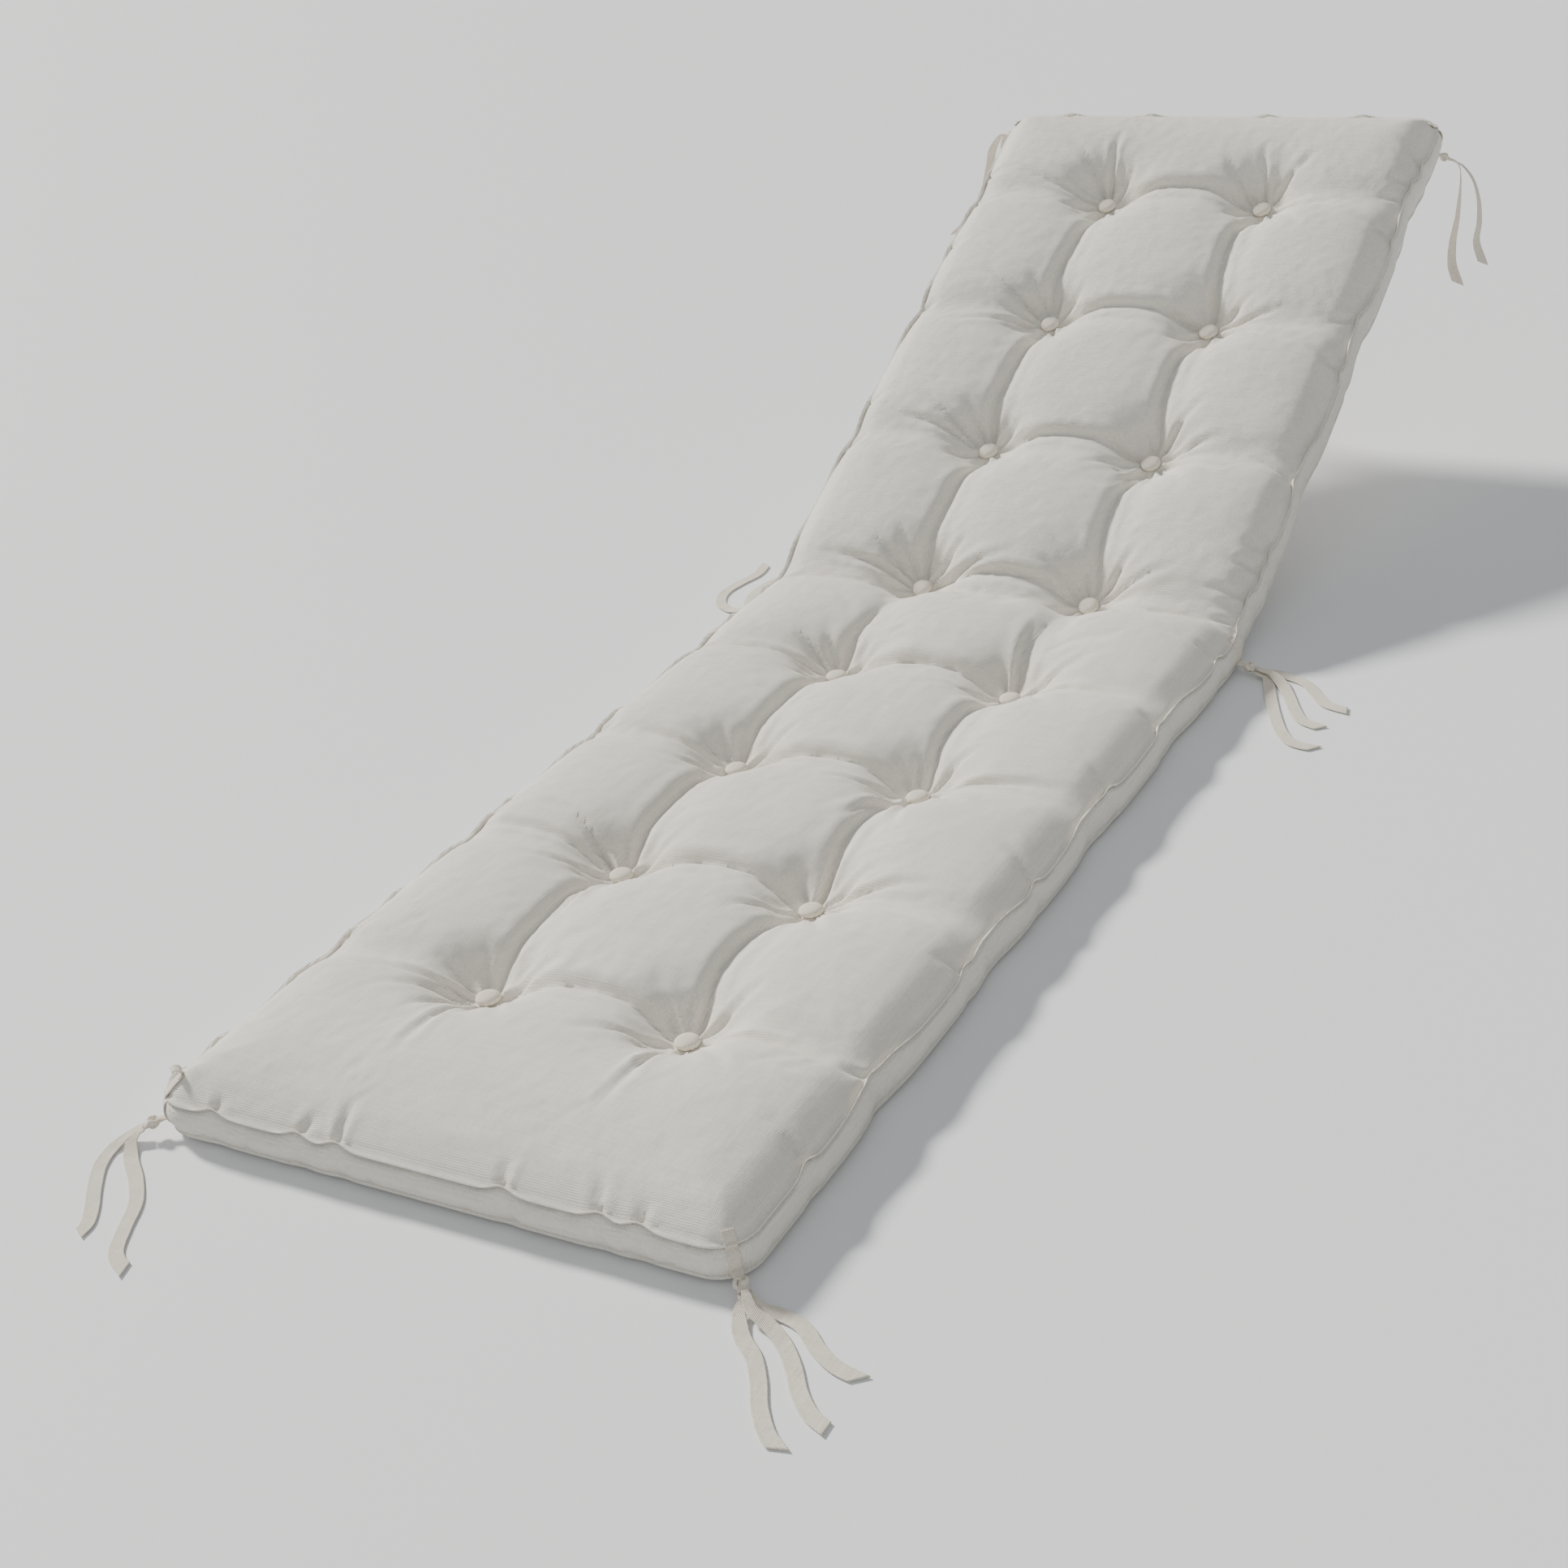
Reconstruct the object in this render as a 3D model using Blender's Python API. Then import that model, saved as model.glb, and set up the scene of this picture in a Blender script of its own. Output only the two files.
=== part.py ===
"""Tufted sun lounger cushion with its back half raised, in metres, +Z up.

The cushion is laid out flat first: x runs across it, s runs along it from the foot edge, and z is the
height over its underside. bent() then carries a flat point to the shape in which the cushion lies.
The origin ends up under the middle of the cushion, on the surface that it rests on.
"""

import math

import bmesh
import bpy
from mathutils import Matrix, Vector
from mathutils.bvhtree import BVHTree

# Cut size of the cushion, along its middle layer
LENGTH = 2.000
WIDTH = 0.600

# Border and filling
BULGE = 0.006            # how far the border stands out past its two seams
CORNER = 0.034           # plan radius of the seams at the four corners
FOOT_SEAM = 0.006        # height of the lower seam
RIM = 0.038              # height of the upper seam
CROWN = 0.027            # rise of the plump cells over the upper seam
SHOULDER = 0.075         # distance in which the top rises from the seam to its crown
UNDER_EDGE = 0.030       # distance in which the underside comes down from its seam to flat
UNDER_DIMPLE = 0.004     # how far each button's thread lifts the underside
UNDER_REACH = 0.030      # radius of that lift

# Tufting
ROWS = 8
ROW_PITCH = 0.2255
FIRST_ROW = 0.245        # from the foot edge to the first row of buttons
COLUMN = 0.106           # from the middle line to each column of buttons
SEAT = 0.012             # half side of the flat spot under a button
BUTTON_FLOOR = 0.026     # height of that flat spot
DIMPLE = 0.036           # distance over which the cloth rises out of a dimple
CHANNEL = 0.026          # half width of a sewn channel
CHANNEL_SHARE = 0.52     # how much of the crown a channel takes away
SIDE_FADE = 0.55         # what is left of a cross channel where it meets the border
PULL_IN = 0.006          # how far a row draws the long sides in
RIM_DIP = 0.004          # how far a row draws the upper seam down

# Bend between seat and back
FOLD = 1.118             # from the foot edge to the middle of the bend
FOLD_ARC = 0.034         # length of cloth that the bend takes
RAISE = math.radians(24.5)
MIDDLE_LAYER = 0.020     # height of the layer that keeps its length
CREASE = 0.009           # depth of the crease across the top at the bend
CREASE_WIDTH = 0.016
FOLD_FADE = 0.6          # share of the lengthwise channels that the bend takes away
FOLD_REACH = 0.055       # over this distance to either side of it

# Buttons
BUTTON_RINGS = (
    # radius, height over the button's seat
    (0.0092, 0.0000),
    (0.0110, 0.0024),
    (0.0092, 0.0054),
    (0.0046, 0.0070),
)
BUTTON_SIDES = 10

# Ties
CLEAR = 0.0003           # gap that pieces keep where they touch
TAPE_WIDTH = 0.013
TAPE_THICK = 0.002
TAPE_STEP = 0.0095       # spacing of the sections along a tape
NECK_WIDTH = 0.005       # a tape's width where it leaves its knot
SPREAD_LENGTH = 0.030    # length in which it opens to its full width
STRAIGHT = 0.006         # length over which a tape keeps its knot's direction
KNOT_SIDES = 8
KNOT_SECTIONS = (
    # distance along the knot, half width, half thickness
    (0.000, 0.0050, 0.0018),
    (0.006, 0.0048, 0.0018),
    (0.009, 0.0078, 0.0056),
    (0.014, 0.0088, 0.0066),
    (0.019, 0.0074, 0.0056),
    (0.022, 0.0060, 0.0042),
)

COVER = (0.83, 0.80, 0.73)
BUTTON_CLOTH = (0.80, 0.77, 0.70)
TAPE = (0.81, 0.78, 0.71)

# Where each tie is sewn on: flat x, s and z of a point inside the border, and the way the knot points,
# as a heading in plan (0 is +x, 90 is +y) and a droop below the level, in degrees.
TIES = {
    "front_left": (-0.262, 0.038, 0.024, 225, 12),
    "front_right": (0.262, 0.038, 0.024, 315, 12),
    "bend_left": (-0.262, 1.104, 0.022, 172, 12),
    "bend_right": (0.262, 1.104, 0.022, 350, 12),
    "head_left": (-0.262, 1.962, 0.030, 150, 5),
    "head_right": (0.262, 1.962, 0.024, 30, 28),
}

# Each tape: how far to the side of the knot's middle it comes out (anticlockwise in plan is +) and how
# far above it, the heading of its width at its end (None where it lies flat), and the route it then takes.
# A route's columns are x, y and z in the frame of the foot edge, before the origin moves under the middle.
TAPES = {
    "front_left_a": (-0.0033, -0.0012, None, (
        (-0.3170, -0.0150, 0.0045),
        (-0.3200, -0.0310, 0.0010),
        (-0.3120, -0.0530, 0.0010),
        (-0.2950, -0.0770, 0.0010),
        (-0.2770, -0.0990, 0.0010),
        (-0.2660, -0.1160, 0.0010),
        (-0.2640, -0.1280, 0.0010),
    )),
    "front_left_b": (0.0033, -0.0012, None, (
        (-0.3050, -0.0190, 0.0045),
        (-0.2930, -0.0340, 0.0010),
        (-0.2690, -0.0540, 0.0010),
        (-0.2450, -0.0800, 0.0010),
        (-0.2300, -0.1100, 0.0010),
        (-0.2140, -0.1370, 0.0010),
        (-0.1920, -0.1500, 0.0010),
    )),
    "front_right_a": (0.0033, -0.0012, None, (
        (0.3200, -0.0070, 0.0045),
        (0.3380, -0.0060, 0.0010),
        (0.3580, -0.0120, 0.0010),
        (0.3780, -0.0280, 0.0010),
        (0.3990, -0.0400, 0.0010),
        (0.4210, -0.0450, 0.0010),
    )),
    "front_right_b": (-0.0033, -0.0012, None, (
        (0.3070, -0.0200, 0.0045),
        (0.3190, -0.0370, 0.0010),
        (0.3380, -0.0530, 0.0010),
        (0.3540, -0.0740, 0.0010),
        (0.3680, -0.0970, 0.0010),
        (0.3850, -0.1170, 0.0010),
        (0.4000, -0.1280, 0.0010),
    )),
    "front_right_c": (0.0, 0.0026, None, (
        (0.3170, -0.0160, 0.0080),
        (0.3330, -0.0210, 0.0036),
        (0.3510, -0.0320, 0.0010),
        (0.3700, -0.0510, 0.0010),
        (0.3880, -0.0740, 0.0010),
        (0.4060, -0.0900, 0.0010),
        (0.4230, -0.0980, 0.0010),
    )),
    "bend_left_a": (0.0033, -0.0012, None, (
        (-0.3370, 1.1020, 0.0045),
        (-0.3560, 1.1040, 0.0010),
        (-0.3780, 1.1200, 0.0010),
        (-0.3880, 1.1480, 0.0010),
        (-0.3840, 1.1780, 0.0010),
        (-0.3760, 1.2080, 0.0010),
        (-0.3800, 1.2380, 0.0010),
    )),
    "bend_left_b": (-0.0033, -0.0012, None, (
        (-0.3330, 1.1160, 0.0045),
        (-0.3430, 1.1310, 0.0010),
        (-0.3500, 1.1580, 0.0010),
        (-0.3450, 1.1880, 0.0010),
        (-0.3350, 1.2170, 0.0010),
        (-0.3330, 1.2460, 0.0010),
        (-0.3400, 1.2600, 0.0010),
    )),
    "bend_right_a": (-0.0033, -0.0012, None, (
        (0.3340, 1.0880, 0.0045),
        (0.3430, 1.0700, 0.0010),
        (0.3540, 1.0440, 0.0010),
        (0.3690, 1.0120, 0.0010),
        (0.3870, 0.9790, 0.0010),
        (0.4070, 0.9580, 0.0010),
        (0.4310, 0.9530, 0.0010),
    )),
    "bend_right_b": (0.0033, -0.0012, None, (
        (0.3400, 1.1020, 0.0045),
        (0.3580, 1.1010, 0.0010),
        (0.3790, 1.0900, 0.0010),
        (0.3960, 1.0690, 0.0010),
        (0.4140, 1.0500, 0.0010),
        (0.4380, 1.0420, 0.0010),
    )),
    "bend_right_c": (0.0, 0.0026, None, (
        (0.3390, 1.0920, 0.0080),
        (0.3540, 1.0800, 0.0034),
        (0.3680, 1.0600, 0.0010),
        (0.3830, 1.0330, 0.0010),
        (0.4000, 1.0090, 0.0010),
        (0.4230, 0.9980, 0.0010),
    )),
    "head_left_a": (0.0033, 0.0, 215, (
        (-0.3290, 1.9110, 0.3690),
        (-0.3400, 1.9090, 0.3510),
        (-0.3460, 1.9080, 0.3270),
        (-0.3540, 1.9070, 0.3000),
        (-0.3680, 1.9060, 0.2730),
        (-0.3860, 1.9050, 0.2490),
        (-0.4060, 1.9040, 0.2320),
    )),
    "head_left_b": (-0.0033, 0.0, 262, (
        (-0.3240, 1.9220, 0.3680),
        (-0.3300, 1.9270, 0.3500),
        (-0.3320, 1.9290, 0.3230),
        (-0.3330, 1.9290, 0.2940),
        (-0.3360, 1.9290, 0.2650),
        (-0.3420, 1.9280, 0.2370),
        (-0.3500, 1.9260, 0.2150),
    )),
    "head_right_a": (-0.0033, 0.0, 50, (
        (0.3230, 1.9080, 0.3380),
        (0.3360, 1.9050, 0.3220),
        (0.3440, 1.9020, 0.2980),
        (0.3460, 1.9000, 0.2700),
        (0.3430, 1.8980, 0.2440),
        (0.3520, 1.8960, 0.2170),
    )),
    "head_right_b": (0.0033, 0.0, 30, (
        (0.3130, 1.9200, 0.3370),
        (0.3150, 1.9215, 0.3220),
        (0.3150, 1.9190, 0.2980),
        (0.3130, 1.9160, 0.2680),
        (0.3080, 1.9140, 0.2380),
        (0.3075, 1.9130, 0.2090),
        (0.3160, 1.9110, 0.1840),
    )),
}

# Worked out from the sizes above
SEAM_X = WIDTH / 2 - BULGE
SEAM_FOOT = BULGE
SEAM_HEAD = LENGTH - BULGE
ROW_PLACES = [FIRST_ROW + row * ROW_PITCH for row in range(ROWS)]
FOLD_START = FOLD - FOLD_ARC / 2
FOLD_RADIUS = FOLD_ARC / RAISE


def cleared_scene():
    for thing in list(bpy.data.objects):
        bpy.data.objects.remove(thing)


def finish(name, colour, roughness):
    material = bpy.data.materials.new(name)
    material.use_nodes = True
    shader = material.node_tree.nodes["Principled BSDF"]
    shader.inputs["Base Color"].default_value = (*colour, 1)
    shader.inputs["Roughness"].default_value = roughness
    shader.inputs["Metallic"].default_value = 0
    return material


def added(name, mesh, material, parent):
    thing = bpy.data.objects.new(name, mesh)
    bpy.context.scene.collection.objects.link(thing)
    if not mesh.materials:
        mesh.materials.append(material)
    thing.parent = parent
    return thing


def bent(x, s, z):
    """Where a point of the flat cushion lies once the back is raised."""
    if s <= FOLD_START:
        return Vector((x, s, z))
    turned = min((s - FOLD_START) / FOLD_RADIUS, RAISE)
    beyond = max(s - FOLD_START - FOLD_ARC, 0)
    reach = FOLD_RADIUS - (z - MIDDLE_LAYER)
    y = FOLD_START + reach * math.sin(turned) + beyond * math.cos(RAISE)
    up = MIDDLE_LAYER + FOLD_RADIUS - reach * math.cos(turned) + beyond * math.sin(RAISE)
    return Vector((x, y, up))


def bump(distance, width):
    return math.exp(-((distance / width) ** 2))


def row_distance(s):
    return min(abs(s - place) for place in ROW_PLACES)


def inside(x, s):
    """Distance from a flat point in to the seams' outline."""
    across = abs(x) - (SEAM_X - CORNER)
    along = abs(s - LENGTH / 2) - (LENGTH / 2 - BULGE - CORNER)
    outside_corner = math.hypot(max(across, 0), max(along, 0))
    return CORNER - outside_corner - min(max(across, along), 0)


def channel(x, s):
    """Share from 0 to 1 in which the sewn channels reach a flat point."""
    to_column = abs(abs(x) - COLUMN)
    past_rows = max(ROW_PLACES[0] - s, s - ROW_PLACES[-1], 0)
    lengthwise = bump(to_column, CHANNEL) * bump(past_rows, 2 * CHANNEL)
    lengthwise *= 1 - FOLD_FADE * bump(s - FOLD, FOLD_REACH)
    to_side = max(abs(x) - COLUMN, 0) / (SEAM_X - COLUMN)
    crosswise = bump(row_distance(s), CHANNEL) * (1 - (1 - SIDE_FADE) * to_side)
    return max(lengthwise, crosswise)


def top_height(x, s):
    d = max(inside(x, s), 0)
    rise = math.sqrt(1 - (1 - min(d / SHOULDER, 1)) ** 2)
    rim = RIM - RIM_DIP * bump(row_distance(s), CHANNEL) * min(abs(x) / SEAM_X, 1) ** 4
    height = rim + CROWN * rise * (1 - CHANNEL_SHARE * channel(x, s))
    height -= CREASE * rise * bump(s - FOLD, CREASE_WIDTH)
    off_seat = max(
        math.hypot(
            max(abs(abs(x) - COLUMN) - SEAT, 0), max(row_distance(s) - SEAT, 0)
        ) - 0.0005,
        0,
    )
    sunk = bump(off_seat, DIMPLE)
    return height + (BUTTON_FLOOR - height) * sunk


def under_height(x, s):
    d = max(inside(x, s), 0)
    edge = max(1 - d / UNDER_EDGE, 0) ** 2
    reach = math.hypot(abs(x) - COLUMN, row_distance(s)) / UNDER_REACH
    return FOOT_SEAM * edge + UNDER_DIMPLE * max(1 - reach ** 2, 0) ** 2


def plan(x, s, out=0.0):
    """A flat grid point moved onto the rounded outline, drawn in at the rows, and out past the seam."""
    corner_x = SEAM_X - CORNER
    corner_s = LENGTH / 2 - BULGE - CORNER
    along = s - LENGTH / 2
    u = max(abs(x) - corner_x, 0) / CORNER
    v = max(abs(along) - corner_s, 0) / CORNER
    round_u = u * math.sqrt(1 - v * v / 2)
    round_v = v * math.sqrt(1 - u * u / 2)
    px = min(abs(x), corner_x) + round_u * CORNER
    ps = min(abs(along), corner_s) + round_v * CORNER
    size = math.hypot(round_u, round_v)
    if out and size:
        px += out * round_u / size
        ps += out * round_v / size
    side_share = min(abs(x) / SEAM_X, 1) ** 4
    px -= PULL_IN * bump(row_distance(s), 1.4 * CHANNEL) * side_share
    return math.copysign(px, x), math.copysign(ps, along) + LENGTH / 2


def lines_across():
    half = (
        COLUMN - SEAT, COLUMN, COLUMN + SEAT,
        0.040, 0.072, 0.146, 0.184, 0.222,
        SEAM_X - CORNER, SEAM_X - 0.4 * CORNER, SEAM_X,
    )
    return sorted([-x for x in half] + [0.0] + list(half))


def lines_along():
    ends = (0.0, 0.4 * CORNER, CORNER, 0.075, 0.115)
    places = [SEAM_FOOT + e for e in ends] + [SEAM_HEAD - e for e in ends]
    places.append((SEAM_FOOT + ends[-1] + FIRST_ROW - 0.050) / 2)
    steps = (-0.050, -SEAT, 0.0, SEAT, 0.050)
    for place in ROW_PLACES:
        places += [place + step for step in steps]
    places += [place + ROW_PITCH / 2 for place in ROW_PLACES[:-1]]
    places += [FOLD - FOLD_ARC / 4, FOLD + FOLD_ARC / 8]
    kept = []
    for place in sorted(places):
        if not kept or place - kept[-1] > 0.006:
            kept.append(place)
    return kept


def cushion_mesh():
    """Top, border and underside as one closed skin: rings of points run round the border between two grids."""
    across, along = lines_across(), lines_along()
    last_x, last_s = len(across) - 1, len(along) - 1
    bm = bmesh.new()

    def layer(height):
        rows = []
        for s in along:
            row = []
            for x in across:
                px, ps = plan(x, s)
                row.append(bm.verts.new(bent(px, ps, height(px, ps))))
            rows.append(row)
        return rows

    def grid_faces(rows, upwards):
        for j in range(last_s):
            for i in range(last_x):
                corners = [rows[j][i], rows[j][i + 1], rows[j + 1][i + 1], rows[j + 1][i]]
                bm.faces.new(corners if upwards else corners[::-1])

    top = layer(top_height)
    under = layer(under_height)
    grid_faces(top, True)
    grid_faces(under, False)

    around = [(i, 0) for i in range(last_x)]
    around += [(last_x, j) for j in range(last_s)]
    around += [(i, last_s) for i in range(last_x, 0, -1)]
    around += [(0, j) for j in range(last_s, 0, -1)]
    rings = [[under[j][i] for i, j in around]]
    for share in (0.22, 0.50, 0.78):
        ring = []
        for i, j in around:
            x, s = across[i], along[j]
            px, ps = plan(x, s, BULGE * math.sin(math.pi * share) ** 0.7)
            low, high = under_height(*plan(x, s)), top_height(*plan(x, s))
            ring.append(bm.verts.new(bent(px, ps, low + (high - low) * share)))
        rings.append(ring)
    rings.append([top[j][i] for i, j in around])
    count = len(around)
    for lower, upper in zip(rings, rings[1:]):
        for k in range(count):
            n = (k + 1) % count
            bm.faces.new([lower[k], lower[n], upper[n], upper[k]])

    mesh = bpy.data.meshes.new("cushion")
    bm.to_mesh(mesh)
    bm.free()
    mesh.shade_smooth()
    return mesh


def swept_mesh(name, sections):
    """A closed skin through a row of sections, each a list of points in the same order, capped at both ends."""
    bm = bmesh.new()
    rings = [[bm.verts.new(point) for point in section] for section in sections]
    count = len(rings[0])
    for first, second in zip(rings, rings[1:]):
        for k in range(count):
            n = (k + 1) % count
            bm.faces.new([first[k], first[n], second[n], second[k]])
    bm.faces.new(rings[0][::-1])
    bm.faces.new(rings[-1])
    bmesh.ops.recalc_face_normals(bm, faces=bm.faces)
    mesh = bpy.data.meshes.new(name)
    bm.to_mesh(mesh)
    bm.free()
    return mesh


def oval(centre, wide, thick, sides):
    """Points of an oval section, from its centre and its two half axes as vectors."""
    turns = [2 * math.pi * k / sides for k in range(sides)]
    return [centre + wide * math.cos(t) + thick * math.sin(t) for t in turns]


def button_mesh():
    sections = []
    for radius, height in BUTTON_RINGS:
        wide, thick = Vector((radius, 0, 0)), Vector((0, radius, 0))
        sections.append(oval(Vector((0, 0, height)), wide, thick, BUTTON_SIDES))
    mesh = swept_mesh("button", sections)
    mesh.shade_smooth()
    mesh.set_sharp_from_angle(angle=math.radians(60))
    return mesh


def add_buttons(material, parent):
    mesh = button_mesh()
    for row, s in enumerate(ROW_PLACES, start=1):
        for side, sign in (("left", -1), ("right", 1)):
            button = added(f"button_{row}_{side}", mesh, material, parent)
            button.location = bent(sign * COLUMN, s, BUTTON_FLOOR + CLEAR)
            button.rotation_euler.x = min(max((s - FOLD_START) / FOLD_RADIUS, 0), RAISE)


def direction(heading, droop):
    flat = math.cos(math.radians(droop))
    turn = math.radians(heading)
    return Vector((flat * math.cos(turn), flat * math.sin(turn), -math.sin(math.radians(droop))))


def side_axes(way, wanted):
    """The width and the thickness directions of a tape that runs along way, its width kept near wanted."""
    wide = (wanted - way * wanted.dot(way)).normalized()
    return wide, way.cross(wide)


def seat_distance(skin, start, way, wide, thick):
    """How far a knot's first face, pushed out of the cushion along way, has to go to stand clear of it."""
    half_wide, half_thick = KNOT_SECTIONS[0][1:]
    furthest = 0.0
    for point in oval(start, wide * half_wide, thick * half_thick, KNOT_SIDES) + [start]:
        hit, _, _, distance = skin.ray_cast(point, way)
        if hit is not None:
            furthest = max(furthest, distance)
    return furthest + CLEAR


def smooth_line(points, step):
    """Points a step apart on one smooth curve through the given ones."""
    ends = [2 * points[0] - points[1]] + points + [2 * points[-1] - points[-2]]
    fine = []
    for a, b, c, d in zip(ends, ends[1:], ends[2:], ends[3:]):
        for k in range(24):
            t = k / 24
            fine.append(0.5 * (
                2 * b + (c - a) * t + (2 * a - 5 * b + 4 * c - d) * t ** 2
                + (3 * b - a - 3 * c + d) * t ** 3
            ))
    fine.append(points[-1])
    lengths = [0.0]
    for a, b in zip(fine, fine[1:]):
        lengths.append(lengths[-1] + (b - a).length)
    count = round(lengths[-1] / step)
    line, k = [], 0
    for n in range(count + 1):
        wanted = lengths[-1] * n / count
        while k < len(fine) - 2 and lengths[k + 1] < wanted:
            k += 1
        share = (wanted - lengths[k]) / (lengths[k + 1] - lengths[k])
        line.append(fine[k].lerp(fine[k + 1], min(share, 1)))
    return line


def tape_mesh(name, points, start_heading, end_heading):
    """A flat tape along a smooth line. It leaves its knot gathered and soon opens to its full width."""
    line = smooth_line(points, TAPE_STEP)
    for point in line:
        point.z = max(point.z, TAPE_THICK / 2)
    last = len(line) - 1
    ways = [(after - before).normalized() for before, after in zip(line, line[2:])]
    ways = [(points[1] - points[0]).normalized()] + ways + [(line[-1] - line[-2]).normalized()]
    sections = []
    for k, (centre, way) in enumerate(zip(line, ways)):
        if end_heading is None:
            wanted = Vector((0, 0, 1)).cross(way)
        else:
            wanted = direction(start_heading + (end_heading - start_heading) * k / last, 0)
        wide, thick = side_axes(way, wanted)
        opened = min(k * TAPE_STEP / SPREAD_LENGTH, 1)
        wide *= (NECK_WIDTH + (TAPE_WIDTH - NECK_WIDTH) * opened) / 2
        thick *= TAPE_THICK / 2
        sections.append([
            centre + wide + thick, centre - wide + thick, centre - wide - thick, centre + wide - thick,
        ])
    return swept_mesh(name, sections)


def add_ties(skin, material, parent):
    for tie, (x, s, z, heading, droop) in TIES.items():
        way = direction(heading, droop)
        wide, thick = side_axes(way, direction(heading + 90, 0))
        start = bent(x, s, z)
        base = start + way * seat_distance(skin, start, way, wide, thick)
        sections = []
        for distance, half_wide, half_thick in KNOT_SECTIONS:
            centre = base + way * distance
            sections.append(oval(centre, wide * half_wide, thick * half_thick, KNOT_SIDES))
        knot = swept_mesh(f"knot_{tie}", sections)
        knot.shade_smooth()
        added(f"knot_{tie}", knot, material, parent)

        exit_face = base + way * (KNOT_SECTIONS[-1][0] + CLEAR)
        for tape, (side, lift, end_heading, route) in TAPES.items():
            if not tape.startswith(tie):
                continue
            first = exit_face + wide * side + thick * lift
            points = [first, first + way * STRAIGHT] + [Vector(p) for p in route]
            mesh = tape_mesh(f"tape_{tape}", points, heading + 90, end_heading)
            added(f"tape_{tape}", mesh, material, parent)


def main():
    cleared_scene()
    cover = finish("cover_cloth", COVER, 0.9)
    button_cloth = finish("button_cloth", BUTTON_CLOTH, 0.85)
    tape_cloth = finish("tape_cloth", TAPE, 0.85)

    mesh = cushion_mesh()
    skin = BVHTree.FromPolygons(
        [v.co for v in mesh.vertices], [tuple(p.vertices) for p in mesh.polygons]
    )
    far_end = max(v.co.y for v in mesh.vertices)
    near_end = min(v.co.y for v in mesh.vertices)
    origin = bpy.data.objects.new("foot_edge", None)
    bpy.context.scene.collection.objects.link(origin)
    origin.location = (0, -(near_end + far_end) / 2, 0)

    added("cushion", mesh, cover, origin)
    add_buttons(button_cloth, origin)
    add_ties(skin, tape_cloth, origin)


main()
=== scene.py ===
import math

import bmesh
import bpy
import numpy as np
from mathutils import Matrix, Vector
from mathutils.bvhtree import BVHTree


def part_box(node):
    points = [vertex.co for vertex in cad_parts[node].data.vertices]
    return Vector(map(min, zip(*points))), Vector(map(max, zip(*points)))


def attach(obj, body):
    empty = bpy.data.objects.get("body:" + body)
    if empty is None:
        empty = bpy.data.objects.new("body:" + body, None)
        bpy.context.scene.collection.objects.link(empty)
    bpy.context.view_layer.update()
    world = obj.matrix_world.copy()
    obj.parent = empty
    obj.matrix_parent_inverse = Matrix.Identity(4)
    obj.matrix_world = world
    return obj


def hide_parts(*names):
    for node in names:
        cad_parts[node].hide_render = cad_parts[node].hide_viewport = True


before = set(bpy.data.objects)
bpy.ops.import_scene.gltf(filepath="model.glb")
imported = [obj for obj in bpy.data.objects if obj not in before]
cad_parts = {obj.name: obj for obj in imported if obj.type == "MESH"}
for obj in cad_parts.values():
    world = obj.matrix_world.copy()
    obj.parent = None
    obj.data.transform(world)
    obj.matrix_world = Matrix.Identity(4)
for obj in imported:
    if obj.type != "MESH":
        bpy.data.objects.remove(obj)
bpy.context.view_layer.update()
scene = bpy.context.scene

# Studio
# A plain pale floor under a low soft light from the left and a weak one in front, seen from the front right
# corner, a little above, as the drawing sees the cushion.

VIEW_AZIMUTH, VIEW_ELEVATION, VIEW_ROLL = (math.radians(a) for a in (32.24, 27.87, -7.57))
VIEW_DISTANCE = 2.092
LENS, SHIFT_X, SHIFT_Y, CLIP_START = 54.8, -0.011, -0.003, 0.05
foot_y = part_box("cushion")[0][1]
view_target = Vector((0.144, 0.423 + foot_y, 0.2))

towards_camera = Vector((
    math.sin(VIEW_AZIMUTH) * math.cos(VIEW_ELEVATION),
    -math.cos(VIEW_AZIMUTH) * math.cos(VIEW_ELEVATION),
    math.sin(VIEW_ELEVATION),
))
level = Vector((math.cos(VIEW_AZIMUTH), math.sin(VIEW_AZIMUTH), 0))
upright = towards_camera.cross(level)
right = math.cos(VIEW_ROLL) * level + math.sin(VIEW_ROLL) * upright
up = math.cos(VIEW_ROLL) * upright - math.sin(VIEW_ROLL) * level
lens = bpy.data.cameras.new("camera")
lens.lens = LENS
lens.shift_x = SHIFT_X
lens.shift_y = SHIFT_Y
lens.clip_start = CLIP_START
camera = bpy.data.objects.new("camera", lens)
scene.collection.objects.link(camera)
camera.matrix_world = Matrix.Translation(view_target + towards_camera * VIEW_DISTANCE) @ Matrix(
    (right, up, towards_camera)
).transposed().to_4x4()
scene.camera = camera

for name, heading, height, strength, softness, colour in (
    ("key", 161, 33, 5.6, 8, (1.0, 0.97, 0.93)),
    ("fill", 300, 48, 0.6, 60, (0.90, 0.95, 1.0)),
):
    light = bpy.data.lights.new(name, "SUN")
    light.energy = strength
    light.angle = math.radians(softness)
    light.color = colour
    lamp = bpy.data.objects.new(name, light)
    lamp.rotation_euler = (0, math.radians(90 - height), math.radians(heading))
    scene.collection.objects.link(lamp)

world = bpy.data.worlds.new("studio")
world.use_nodes = True
world.node_tree.nodes["Background"].inputs["Color"].default_value = (0.96, 0.98, 1.0, 1)
world.node_tree.nodes["Background"].inputs["Strength"].default_value = 0.36
scene.world = world

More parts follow.
